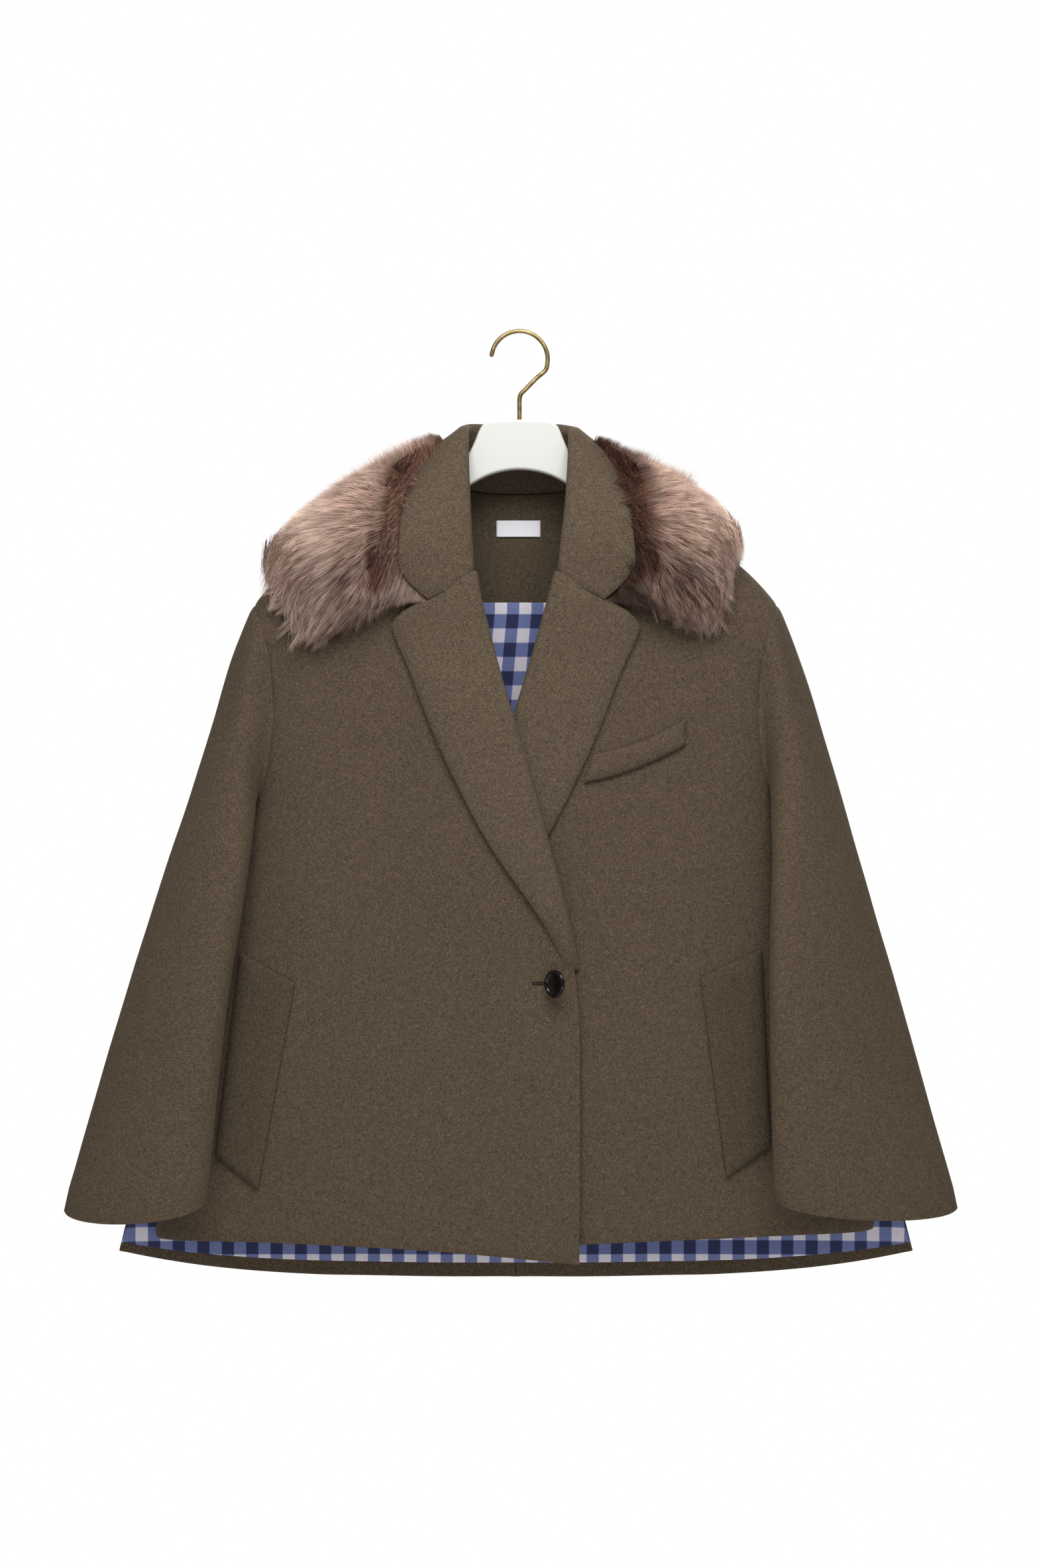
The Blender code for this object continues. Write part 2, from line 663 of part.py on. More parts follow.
def lapel_grid(side, share_down):
    """A lapel's rows: round the front's edge at the roll line and out over the front."""
    steps = 13
    turn_round = LAPEL_CLEAR + FOLDED_WOOL / 2.0
    grid = []
    for step in range(steps + 1):
        row = at_share(LAPEL, share_down * step / steps)
        roll = Vector((row.roll_x, row.roll_z))
        wide = Vector((row.edge_x, row.edge_z)) - roll
        way = wide.normalized()
        line = [front_point(side, *(roll - way * turn_round), -WOOL)]
        line.append(front_point(side, *(roll - way * turn_round), 0.0))
        corner = roll - way * turn_round * math.sqrt(0.5)
        line.append(front_point(side, *corner, turn_round * math.sqrt(0.5)))
        line.append(front_point(side, *roll, turn_round))
        for part in (0.12, 0.3, 0.55, 0.8, 1.0):
            stands = turn_round + LAPEL_ROLL * math.sin(math.pi * part**0.8)
            line.append(front_point(side, *(roll + wide * part), stands))
        grid.append(line)
    return grid


def welt_grid(name):
    """A welt's rows on its front, from its top edge to its bottom edge."""
    welt = WELTS[name]
    top_in = Vector((welt.top_in_x, welt.top_in_z))
    top_out = Vector((welt.top_out_x, welt.top_out_z))
    low_in = Vector((welt.low_in_x, welt.low_in_z))
    low_out = Vector((welt.low_out_x, welt.low_out_z))
    across = (top_out - top_in).length
    down = (low_in - top_in).length
    rows = 3 + int(down / 45.0)
    columns = 3 + int(across / 30.0)
    grid = []
    for row in range(rows + 1):
        line = []
        for column in range(columns + 1):
            share = column / columns
            place = mix(mix(top_in, top_out, share), mix(low_in, low_out, share), row / rows)
            place.y += WELT_BOW[name] * 4.0 * share * (1.0 - share)
            soft = math.sin(math.pi * share) * math.sin(math.pi * row / rows)
            line.append(front_point(welt.side, *place, WELT + 2.0 * GAP + 1.2 * soft))
        grid.append(line)
    return grid


def lining_grid():
    """The back lining's rows, on the inside of the back."""
    rows = 13
    columns = 16
    inside = -(WOOL + LINING_HANGS)
    grid = []
    for row in range(rows + 1):
        share = row / rows
        line = []
        for column in range(columns + 1):
            across = math.sin(math.pi / 2.0 * (2.0 * column / columns - 1.0))
            z = mix(FACING_BOTTOM_Z - GAP, BACK_HEM_Z + LINING_SHORT, share)
            if z > UNDERARM_Z:
                edge = mix(UNDERARM_X, 196.0, smooth((z - UNDERARM_Z) / (FACING_BOTTOM_Z - UNDERARM_Z)))
            else:
                edge = half_width(z)
            x = across * (edge - LINING_NARROW)
            z += (back_hem_z(x) - BACK_HEM_Z) * share * share
            line.append(back_point(x, z, inside))
        grid.append(line)
    return grid


def facing_grid():
    """The neck facing's rows, on the inside of the back below the collar."""
    rows = 5
    columns = 8
    inside = -(WOOL + LINING_HANGS)
    grid = []
    for row in range(rows + 1):
        line = []
        for column in range(columns + 1):
            across = 2.0 * column / columns - 1.0
            x = across * mix(FACING_TOP_X, FACING_BOTTOM_X, row / rows)
            top = top_z(across * FACING_TOP_X) - 3.0
            line.append(back_point(x, mix(top, FACING_BOTTOM_Z, row / rows), inside))
        grid.append(line)
    return grid


def label_grid():
    """The label's rows, on the inside of the neck facing."""
    inside = -(WOOL + LINING_HANGS + LINING + 2.0 * GAP)
    grid = []
    for row in range(3):
        z = LABEL_TOP_Z - LABEL_TALL * row / 2.0
        grid.append([back_point(LABEL_X + LABEL_WIDE * (i / 4.0 - 0.5), z, inside) for i in range(5)])
    return grid


def skin_point(x, s):
    """A point of the coat's outside on the shoulder, in front for positive s and behind for negative."""
    turn = math.radians(90.0 * min(abs(s), 1.0))
    drop = SHOULDER_ROUND * (1.0 - math.cos(turn)) + 100.0 * max(abs(s) - 1.0, 0.0)
    z = shoulder_z(x) - drop
    if abs(s) < 0.001:
        return Vector((x, 0.0, z))
    y = front_y(x, z, front_half_width(z)) if s > 0.0 else back_y(x, z)
    return Vector((x, y, z))


def skin_normal(x, s):
    """The way out of the coat at a place on the shoulder."""
    across = skin_point(x + 3.0, s) - skin_point(max(x - 3.0, 0.0), s)
    along = skin_point(x, s + 0.06) - skin_point(x, s - 0.06)
    return along.cross(across).normalized()


def fur_thickness(row, out):
    """How thick the fur stands at a share of the way out from the neck."""
    rise = smooth((out - row.under) / (row.full - row.under))
    end = max((out - 1.0 + FUR_ROUND) / FUR_ROUND, 0.0)
    thick = row.thick * (1.2 - FUR_LEAN * out)
    return max(mix(FUR_UNDER_COLLAR, thick, rise) * math.sqrt(1.0 - end * end), FUR_EDGE)


def fur_ring(side, row, along):
    """A section of the fur collar: out along its pelt and back over the tips of its hair."""
    pelt = []
    tips = []
    for out in FUR_COLUMNS:
        short = 1.0 - FUR_SHORTER[side] * (1.0 - smooth((along - 0.6) / 0.3)) * smooth(out / 0.6)
        x = mix(row.inner_x, row.outer_x, out * short)
        s = mix(row.inner_s, row.outer_s, out)
        normal = skin_normal(x, s)
        upright = (1.0 - smooth((out - row.full) / 0.4)) * (1.0 - smooth(abs(s) / 0.9))
        hair = mix(normal, FUR_STANDS_UP, upright).normalized()
        depth = fur_thickness(row, out) + FUR_LOCKS * math.sin(35.0 * along) * math.sin(math.pi * out)
        pelt.append(skin_point(x, s) + normal * FUR_GAP)
        tips.append(pelt[-1] + hair * depth)
    ring = pelt + tips[::-1]
    return [Vector((side * point.x, point.y, point.z)) for point in ring]


def fur_collar(name, side, material):
    """A half of the fur collar, as deep as its hair, from its front end to the centre back."""
    rows = 15
    rings = [fur_ring(side, at_share(FUR, row / rows), row / rows) for row in range(rows + 1)]
    rings.append([Vector((side * GAP, point.y, point.z)) for point in rings[-1]])
    bm = points_grid([ring + ring[:1] for ring in rings])
    bmesh.ops.remove_doubles(bm, verts=bm.verts, dist=1e-6)
    bmesh.ops.holes_fill(bm, edges=bm.edges)
    bmesh.ops.recalc_face_normals(bm, faces=bm.faces)
    mesh = bpy.data.meshes.new(name)
    bm.to_mesh(mesh)
    bm.free()
    mesh.shade_smooth()
    return add_part(name, mesh, material)


def turned(name, profile, material, steps):
    """A turned piece from a profile of radius and height, top to bottom."""
    mesh = bpy.data.meshes.new(name)
    points = [(radius * MM, 0.0, height * MM) for radius, height in profile]
    edges = [(i, i + 1) for i in range(len(points) - 1)]
    mesh.from_pydata(points, edges, [])
    part = add_part(name, mesh, material)
    screw = part.modifiers.new("Turn", "SCREW")
    screw.steps = steps
    screw.render_steps = steps
    screw.use_merge_vertices = True
    screw.merge_threshold = 0.00001
    return part


def button_and_shank(horn, thread):
    """The button, leaning with its face towards the wearer's right, on its thread shank."""
    rim = BUTTON_ROUND / 2.0
    profile = [
        (0.0, 0.2),
        (rim - 4.2, 0.6),
        (rim - 3.2, 1.9),
        (rim - 1.6, 2.3),
        (rim - 0.3, 1.4),
        (rim, 0.2),
        (rim - 0.7, -1.0),
        (rim - 4.5, -2.2),
        (BUTTON_BOSS + 0.6, -2.8),
        (BUTTON_BOSS, -5.2),
        (0.0, -5.2),
    ]
    button = turned("button", profile, horn, 28)
    cloth_y = front_surface_y(RIGHT, -BUTTON_X, BUTTON_Z)
    centre = Vector((BUTTON_X, cloth_y - BUTTON_STANDS, BUTTON_Z))
    upright = Matrix.Rotation(math.radians(90.0), 4, "X")
    lean = Matrix.Rotation(math.radians(-BUTTON_TURN), 4, "Z")
    button.matrix_world = Matrix.Translation(metres(centre)) @ lean @ upright
    turn = math.radians(BUTTON_TURN)
    boss_end = centre + Vector((math.sin(turn), math.cos(turn), 0.0)) * 5.2
    low = cloth_y - BUTTON_SEAT
    high = boss_end.y + BUTTON_BOSS * math.sin(turn) + GAP
    shank = bpy.data.curves.new("button_shank", "CURVE")
    shank.dimensions = "3D"
    line = shank.splines.new("POLY")
    line.points.add(1)
    line.points[0].co = (*metres((boss_end.x, low, BUTTON_Z)), 1.0)
    line.points[1].co = (*metres((boss_end.x, high, BUTTON_Z)), 1.0)
    shank.bevel_depth = SHANK_ROUND / 2.0 * MM
    shank.bevel_resolution = 2
    shank.use_fill_caps = True
    add_part("button_shank", shank, thread)


def hanger_outline():
    """The right half of the hanger's outline, from the middle of its top round to its apex."""
    lowest = shoulder_z(NECK_X) - WOOL - HANGER_CLEAR
    top = [(0.0, HANGER_TOP_Z), (20.0, HANGER_TOP_Z - 0.8), (30.0, -83.2), (34.6, -86.2)]
    top += [(38.5, -92.5), (45.0, -108.5), (54.0, -121.0), (66.0, lowest)]
    for x in (90.0, 120.0, 150.0, 180.0, HANGER_END_X - 8.0):
        top.append((x, shoulder_z(x + abs(COAT_X)) - WOOL - HANGER_CLEAR))
    end_z = shoulder_z(HANGER_END_X) - WOOL - 12.0
    end = [(HANGER_END_X, end_z), (HANGER_END_X - 4.0, end_z - 10.0)]
    low = [(170.0, -226.0), (120.0, -194.0), (80.0, -167.0), (46.0, -143.2), (24.0, -132.5)]
    return top + end + low + [(0.0, HANGER_APEX_Z)]


def hanger(material):
    """The hanger's board, cut to its outline with rounded edges."""
    half = hanger_outline()
    outline = half + [(-x, z) for x, z in reversed(half[1:-1])]
    board = bpy.data.curves.new("hanger", "CURVE")
    board.dimensions = "2D"
    board.fill_mode = "BOTH"
    board.extrude = (HANGER_THICK / 2.0 - HANGER_EDGE) * MM
    board.bevel_depth = HANGER_EDGE * MM
    board.bevel_resolution = 1
    board.offset = -HANGER_EDGE * MM
    line = board.splines.new("POLY")
    line.points.add(len(outline) - 1)
    for point, (x, z) in zip(line.points, outline):
        point.co = (x * MM, z * MM, 0.0, 1.0)
    line.use_cyclic_u = True
    part = add_part("hanger", board, material)
    part.rotation_euler = (math.radians(90.0), 0.0, 0.0)
    weld = part.modifiers.new("Weld", "WELD")
    weld.merge_threshold = 0.00005
    return part


def hook(material):
    """The hook: a wire up from the hanger's head, a short bend and round to its open tip."""
    points = [(0.0, HANGER_TOP_Z + GAP), (0.0, -68.0), (0.0, -62.0), (1.5, -57.3), (6.2, -52.6), (16.0, -42.4)]
    steps = 20
    for step in range(steps + 1):
        turn = math.radians(mix(HOOK_START, HOOK_END, step / steps))
        points.append((HOOK_ROUND * math.cos(turn), HOOK_CENTRE_Z + HOOK_ROUND * math.sin(turn)))
    wire = bpy.data.curves.new("hook", "CURVE")
    wire.dimensions = "3D"
    line = wire.splines.new("POLY")
    line.points.add(len(points) - 1)
    for point, (x, z) in zip(line.points, points):
        point.co = (x * MM, 0.0, z * MM, 1.0)
    wire.bevel_depth = WIRE / 2.0 * MM
    wire.bevel_resolution = 2
    wire.use_fill_caps = True
    return add_part("hook", wire, material)


for old in list(bpy.data.objects):
    bpy.data.objects.remove(old)
coat = bpy.data.collections.new("short_coat_on_hanger")
bpy.context.scene.collection.children.link(coat)

wool = finish("Felted wool", "#554A3B", 0.95)
gingham = finish("Gingham lining", "#8489B4", 0.9)
long_fur = finish("Long-haired fur", "#8F766B", 0.9)
tape = finish("Woven label", "#E6E4EA", 0.8)
horn = finish("Black horn", "#14110F", 0.2)
thread = finish("Thread", "#2A231B", 0.9)
paint = finish("White painted wood", "#F4F5F0", 0.45)
brass = finish("Antique brass", "#82704A", 0.35, 1.0)

cloth("front_right", front_grid(RIGHT), WOOL, wool)
cloth("front_left", front_grid(LEFT), WOOL, wool, flip=True)
cloth("back_right", back_grid(RIGHT), WOOL, wool, flip=True)
cloth("back_left", back_grid(LEFT), WOOL, wool)
cloth("sleeve_right_front", sleeve_half_grid(RIGHT, FRONT), WOOL, wool, flip=True)
cloth("sleeve_right_back", sleeve_half_grid(RIGHT, BACK), WOOL, wool)
cloth("sleeve_left_front", sleeve_half_grid(LEFT, FRONT), WOOL, wool)
cloth("sleeve_left_back", sleeve_half_grid(LEFT, BACK), WOOL, wool, flip=True)
cloth("collar", collar_grid(), FOLDED_WOOL, wool, offset=0.0)
cloth("lapel_right", lapel_grid(RIGHT, 1.0), FOLDED_WOOL, wool, offset=0.0)
cloth("lapel_left", lapel_grid(LEFT, LEFT_LAPEL_SHARE), FOLDED_WOOL, wool, flip=True, offset=0.0)
fur_collar("fur_collar_right", RIGHT, long_fur)
fur_collar("fur_collar_left", LEFT, long_fur)
cloth("neck_facing", facing_grid(), LINING, wool)
cloth("back_lining", lining_grid(), LINING, gingham)
cloth("label", label_grid(), LABEL, tape)
for welt_name, welt_row in WELTS.items():
    cloth(welt_name, welt_grid(welt_name), WELT, wool, flip=welt_row.side == LEFT)
button_and_shank(horn, thread)
hanger(paint)
hook(brass)
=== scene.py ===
"""A short wool coat with a fur collar, hanging on its hanger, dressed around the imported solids."""

import math
import random

import bpy
import numpy as np
from mathutils import Matrix, Vector, bvhtree, kdtree, noise


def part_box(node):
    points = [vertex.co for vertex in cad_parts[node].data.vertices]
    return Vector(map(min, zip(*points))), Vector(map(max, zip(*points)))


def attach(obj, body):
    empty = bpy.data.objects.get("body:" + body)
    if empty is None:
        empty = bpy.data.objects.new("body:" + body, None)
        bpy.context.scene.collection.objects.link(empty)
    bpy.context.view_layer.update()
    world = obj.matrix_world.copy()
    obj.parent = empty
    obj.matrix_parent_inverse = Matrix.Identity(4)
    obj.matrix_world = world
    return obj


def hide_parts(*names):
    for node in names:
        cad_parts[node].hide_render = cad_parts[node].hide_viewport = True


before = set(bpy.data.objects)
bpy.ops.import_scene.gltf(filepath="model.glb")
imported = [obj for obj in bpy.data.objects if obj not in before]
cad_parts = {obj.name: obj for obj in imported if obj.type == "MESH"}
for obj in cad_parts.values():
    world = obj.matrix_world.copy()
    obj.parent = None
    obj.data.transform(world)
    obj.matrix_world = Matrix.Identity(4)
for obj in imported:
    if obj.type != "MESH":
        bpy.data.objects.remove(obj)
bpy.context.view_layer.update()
scene = bpy.context.scene
MM = 0.001

# Studio: the camera stands four metres off, level with the middle of the picture. A wide soft lamp
# hangs above and in front, a white surround fills the shadows, and a pale floor lies below the hem.
PICTURE_TALL = 0.98 * 2367 / 1568
lens = bpy.data.cameras.new("camera")
lens.sensor_width = 36.0
lens.lens = 36.0 * 4.0 / PICTURE_TALL
camera = bpy.data.objects.new("camera", lens)
camera.location = (0.0, -4.0, -0.4253)
camera.rotation_euler = (math.radians(90.0), 0.0, 0.0)
scene.collection.objects.link(camera)
scene.camera = camera
scene.view_settings.view_transform = "Standard"


def linear(code):
    """A hex colour as the linear values that a shader takes."""
    values = [int(code[i : i + 2], 16) / 255.0 for i in (1, 3, 5)]
    values = [v / 12.92 if v <= 0.04045 else ((v + 0.055) / 1.055) ** 2.4 for v in values]
    return (*values, 1.0)


def add_node(tree, kind, inputs, stops=(), **settings):
    """A shader node with its settings, its inputs filled or linked, and a ramp's colour stops."""
    made = tree.nodes.new(kind)
    for setting, value in settings.items():
        setattr(made, setting, value)
    for socket, value in inputs.items():
        if isinstance(value, bpy.types.NodeSocket):
            tree.links.new(value, made.inputs[socket])
        else:
            made.inputs[socket].default_value = value
    for i, (place, code) in enumerate(stops):
        stop = made.color_ramp.elements[i] if i < 2 else made.color_ramp.elements.new(place)
        stop.position = place
        stop.color = linear(code)
    return made


def new_material(name, **sockets):
    """A Principled material with constant values on its sockets."""
    material = bpy.data.materials.new(name)
    material.use_nodes = True
    shader = material.node_tree.nodes["Principled BSDF"]
    for socket, value in sockets.items():
        shader.inputs[socket.replace("_", " ")].default_value = value
    return material, material.node_tree, shader


surround = bpy.data.worlds.new("white surround")
surround.use_nodes = True
tree = surround.node_tree
tree.nodes.clear()
seen = add_node(tree, "ShaderNodeBackground", {"Color": (1.0, 1.0, 1.0, 1.0), "Strength": 1.0})
fill = add_node(tree, "ShaderNodeBackground", {"Color": (1.0, 1.0, 1.0, 1.0), "Strength": 0.32})
path = add_node(tree, "ShaderNodeLightPath", {})
both = add_node(
    tree, "ShaderNodeMixShader", {0: path.outputs["Is Camera Ray"], 1: fill.outputs[0], 2: seen.outputs[0]}
)
add_node(tree, "ShaderNodeOutputWorld", {"Surface": both.outputs[0]})
scene.world = surround

LAMPS = (
    ("key_lamp", (0.05, -1.35, 1.0), 1.5, 0.9, 42.0),
    ("low_lamp", (0.0, -1.7, -1.38), 2.2, 0.4, 8.0),
    ("back_lamp", (0.5, 2.6, 1.2), 2.2, 1.6, 70.0),
)
for lamp_name, lamp_place, lamp_wide, lamp_tall, lamp_power in LAMPS:
    lamp = bpy.data.lights.new(lamp_name, "AREA")
    lamp.shape = "RECTANGLE"
    lamp.size = lamp_wide
    lamp.size_y = lamp_tall
    lamp.energy = lamp_power
    stand = bpy.data.objects.new(lamp_name, lamp)
    stand.location = lamp_place
    stand.rotation_euler = (Vector((0.0, 0.0, -0.5)) - Vector(lamp_place)).to_track_quat("-Z", "Y").to_euler()
    scene.collection.objects.link(stand)

bpy.ops.object.select_all(action="DESELECT")
bpy.ops.mesh.primitive_plane_add(size=2.4, location=(0.0, 0.0, -1.46))
floor = bpy.context.object
floor.name = "floor"
bpy.ops.object.transform_apply(location=True)
pale_floor, _, _ = new_material("pale floor", Base_Color=linear("#E9E8E6"), Roughness=0.9)
floor.data.materials.append(pale_floor)

# Hanger: a flat wooden board with a raised head, sawn to its outline, its edges rounded over and
# sprayed satin white. The face of the head is left plain.
HANGER_THICK = 16.0
HANGER_EDGE = 2.6
HANGER_HALF = (
    (0.0, -81.9), (20.0, -82.4), (29.0, -83.4), (34.4, -86.6), (38.4, -93.0), (41.6, -101.0),
    (45.6, -109.5), (53.0, -121.5), (66.0, -137.5), (78.0, -144.6), (90.0, -152.0), (120.0, -168.9),
    (150.0, -185.8), (180.0, -203.9), (199.0, -218.0), (206.5, -228.0), (206.0, -236.5), (198.0, -239.0),
    (170.0, -226.0), (120.0, -194.0), (80.0, -167.0), (46.0, -143.2), (24.0, -132.5), (0.0, -128.8),
)


def smooth_line(points, steps, closed=False):
    """Points on a smooth curve through the given ones, some steps from each to the next."""
    points = [Vector(point) for point in points]
    last = len(points) - 1
    line = []
    for i in range(len(points) if closed else last):
        a, b, c, d = (
            [points[(i + k) % len(points)] for k in (-1, 0, 1, 2)]
            if closed
            else [points[min(max(i + k, 0), last)] for k in (-1, 0, 1, 2)]
        )
        for step in range(steps):
            t = step / steps
            line.append(
                b
                + (c - a) * (t / 2)
                + (a * 2 - b * 5 + c * 4 - d) * (t * t / 2)
                + (b * 3 - a - c * 3 + d) * (t**3 / 2)
            )
    return line if closed else line + [points[-1]]


def new_piece(name, points, edges=(), faces=()):
    """A mesh in the scene, selected alone."""
    data = bpy.data.meshes.new(name)
    data.from_pydata([tuple(point) for point in points], edges, faces)
    piece = bpy.data.objects.new(name, data)
    scene.collection.objects.link(piece)
    bpy.ops.object.select_all(action="DESELECT")
    piece.select_set(True)
    bpy.context.view_layer.objects.active = piece
    return piece


def apply_modifier(piece, kind, **settings):
    """Adds a modifier with its settings and applies it."""
    modifier = piece.modifiers.new(kind.title(), kind)
    for setting, value in settings.items():
        setattr(modifier, setting, value)
    bpy.context.view_layer.objects.active = piece
    bpy.ops.object.modifier_apply(modifier=modifier.name)


def dressed(piece, slot, material, *nodes):
    """Gives a piece its material, shades it smooth, hangs it from the root body and hides the solids that it
    stands for. The slot is not used.
    """
    piece.data.materials.clear()
    piece.data.materials.append(material)
    piece.data.shade_smooth()
    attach(piece, "root")
    if nodes:
        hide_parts(*nodes)


outline = HANGER_HALF + tuple((-x, z) for x, z in reversed(HANGER_HALF[1:-1]))
outline = smooth_line([(x * MM, -HANGER_THICK / 2 * MM, z * MM) for x, z in outline], 6, closed=True)
hanger = new_piece("hanger_board", outline, faces=[tuple(reversed(range(len(outline))))])
apply_modifier(hanger, "SOLIDIFY", thickness=HANGER_THICK * MM, offset=-1.0)
apply_modifier(
    hanger, "BEVEL", width=HANGER_EDGE * MM, segments=4, limit_method="ANGLE", angle_limit=math.radians(50)
)

# Sprayed paint on wood: white, softly shining, with the faint waviness that a spray coat leaves.
paint, tree, shader = new_material("satin white paint", Base_Color=linear("#D2D2CD"), Roughness=0.42)
place = add_node(tree, "ShaderNodeTexCoord", {})
wave = add_node(
    tree, "ShaderNodeTexNoise", {"Vector": place.outputs["Object"], "Scale": 1 / 0.009, "Detail": 2.0}
)
skin = add_node(tree, "ShaderNodeBump", {"Height": wave.outputs[0], "Strength": 0.12, "Distance": 0.0004})
tree.links.new(skin.outputs[0], shader.inputs["Normal"])
dressed(hanger, "white_paint", paint, "hanger")
apply_modifier(hanger, "WEIGHTED_NORMAL", weight=100, keep_sharp=True)

# Hook: a brass wire, 4.2 mm thick, bent up from the hanger's head into a round crook and left
# with a rounded tip. Its antique finish is darker where hands don't polish it.
WIRE = 4.2
HOOK_ROUND = 26.6
HOOK_CENTRE_Z = -24.5
HOOK_FROM, HOOK_TO = -23.0, 171.0
HOOK_STEM = (
    (0.0, 0.0, -86.0), (0.0, 0.0, -72.0), (0.0, 0.0, -63.0),
    (1.4, 0.0, -57.4), (6.2, 0.0, -52.4), (16.0, 0.0, -42.4),
)
HOOK_TIP = ((0.35, 0.94), (0.65, 0.76), (0.87, 0.5), (0.98, 0.2))


def round_strand(name, spots, half_wide, fineness):
    """A round strand along some places, each with its share of the full width, made a mesh."""
    wire = bpy.data.curves.new(name, "CURVE")
    wire.dimensions = "3D"
    wire.bevel_depth = half_wide * MM
    wire.bevel_resolution = fineness
    wire.use_fill_caps = True
    strand = wire.splines.new("POLY")
    strand.points.add(len(spots) - 1)
    for point, (spot, share) in zip(strand.points, spots):
        point.co = (*spot, 1.0)
        point.radius = share
    piece = bpy.data.objects.new(name, wire)
    scene.collection.objects.link(piece)
    bpy.ops.object.select_all(action="DESELECT")
    piece.select_set(True)
    bpy.context.view_layer.objects.active = piece
    bpy.ops.object.convert(target="MESH")
    return bpy.context.object


route = list(HOOK_STEM)
for step in range(13):
    turn = math.radians(HOOK_FROM + (HOOK_TO - HOOK_FROM) * step / 12)
    route.append((HOOK_ROUND * math.cos(turn), 0.0, HOOK_CENTRE_Z + HOOK_ROUND * math.sin(turn)))
route = smooth_line([Vector(point) * MM for point in route], 6)
end_way = (route[-1] - route[-2]).normalized()
spots = [(spot, 1.0) for spot in route]
spots += [(route[-1] + end_way * out * WIRE / 2 * MM, narrow) for out, narrow in HOOK_TIP]
hook = round_strand("hook_wire", spots, WIRE / 2, 5)

# Antique brass: a browned yellow metal, drawn lengthwise, with a soft broken shine.
brass, tree, shader = new_material("antique brass", Metallic=1.0)
place = add_node(tree, "ShaderNodeTexCoord", {})
patina = add_node(
    tree, "ShaderNodeTexNoise", {"Vector": place.outputs["Object"], "Scale": 1 / 0.006, "Detail": 4.0}
)
tone = add_node(
    tree, "ShaderNodeValToRGB", {0: patina.outputs[0]}, stops=((0.3, "#86714A"), (0.7, "#BFA976"))
)
dull = add_node(tree, "ShaderNodeMapRange", {"Value": patina.outputs[0], "To Min": 0.3, "To Max": 0.46})
tree.links.new(tone.outputs[0], shader.inputs["Base Color"])
tree.links.new(dull.outputs[0], shader.inputs["Roughness"])
dressed(hook, "antique_brass", brass, "hook")

# Back lining: one width of gingham shirting, hung inside the back from the neck facing to just above
# the hem, where the wool is turned up under it.
FRONTWARD = Vector((0.0, -1.0, 0.0))
BACKWARD = Vector((0.0, 1.0, 0.0))
SWELL_LONG = 0.11
EDGE_ROUND = 5.0
LINING_WIDER = 10.0
LINING_CLEAR = 2.6


def edge_vertices(piece):
    """The indices of the vertices along a sheet's edges."""
    uses = {}
    for face in piece.data.polygons:
        for key in face.edge_keys:
            uses[key] = uses.get(key, 0) + 1
    return {i for key, count in uses.items() if count == 1 for i in key}


def outer_sheet(name, nodes, toward, wall, spread=0.9):
    """The outer face of a cloth solid, let out a little into its seams.

    A second node is the half that looks the other way, and is joined on along the seams. The inner face
    is followed over like-turned faces; the outer face is then all that touches none of its points."""
    sheets = []
    for node, way in zip(nodes, (toward, -toward)):
        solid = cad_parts[node].data
        sheet = new_piece(name, [v.co for v in solid.vertices], faces=[f.vertices[:] for f in solid.polygons])
        bpy.ops.object.mode_set(mode="EDIT")
        bpy.ops.mesh.select_mode(type="FACE")
        bpy.ops.mesh.select_all(action="SELECT")
        bpy.ops.mesh.remove_doubles(threshold=0.00001)
        bpy.ops.object.mode_set(mode="OBJECT")
        faces = sheet.data.polygons
        tree = bvhtree.BVHTree.FromObject(sheet, bpy.context.evaluated_depsgraph_get())
        behind, beside = {}, {}
        for face in faces:
            start = face.center - face.normal * 0.00001
            _, turned, hit, _ = tree.ray_cast(start, -face.normal, wall * 1.3 * MM)
            if hit is not None and turned.dot(face.normal) < -0.5:
                behind[face.index] = hit
            for key in face.edge_keys:
                beside.setdefault(key, []).append(face.index)
        facing = [i for i in behind if faces[i].normal.dot(way) > 0.5]
        inner = {behind[max(facing, key=lambda i: faces[i].center.dot(way))]}
        reached = list(inner)
        while reached:
            face = faces[reached.pop()]
            for other in {i for key in face.edge_keys for i in beside[key]} & behind.keys() - inner:
                if face.normal.dot(faces[other].normal) > 0.5:
                    inner.add(other)
                    reached.append(other)
        for index in list(inner):
            for other in {i for key in faces[index].edge_keys for i in beside[key]} - inner:
                if faces[index].normal.dot(faces[other].normal) > 0.9:
                    inner.add(other)
        inner_points = {i for index in inner for i in faces[index].vertices}
        outer = {face.index for face in faces if inner_points.isdisjoint(face.vertices)}
        for face in faces:
            sides = {i for key in face.edge_keys for i in beside[key]} & outer - {face.index}
            stray = len(sides) == 1 and face.normal.dot(faces[min(sides)].normal) < 0.75
            face.select = stray or face.index not in outer
        bpy.ops.object.mode_set(mode="EDIT")
        bpy.ops.mesh.delete(type="FACE")
        bpy.ops.object.mode_set(mode="OBJECT")
        sheets.append(sheet)
    piece = sheets[0]
    if len(sheets) > 1:
        piece.select_set(True)
        bpy.context.view_layer.objects.active = piece
        bpy.ops.object.join()
    bpy.ops.object.mode_set(mode="EDIT")
    bpy.ops.mesh.select_all(action="SELECT")
    bpy.ops.mesh.remove_doubles(threshold=0.0009 if len(sheets) > 1 else 0.00001)
    bpy.ops.mesh.tris_convert_to_quads(
        face_threshold=math.radians(180), shape_threshold=math.radians(180), topology_influence=2.0
    )
    bpy.ops.object.mode_set(mode="OBJECT")
    around = {}
    for face in piece.data.polygons:
        for i in face.vertices:
            around.setdefault(i, []).append(face.center.copy())
    for i in edge_vertices(piece):
        vertex = piece.data.vertices[i]
        away = vertex.co - sum(around[i], Vector()) / len(around[i])
        vertex.co += away.normalized() * spread * MM
    return piece


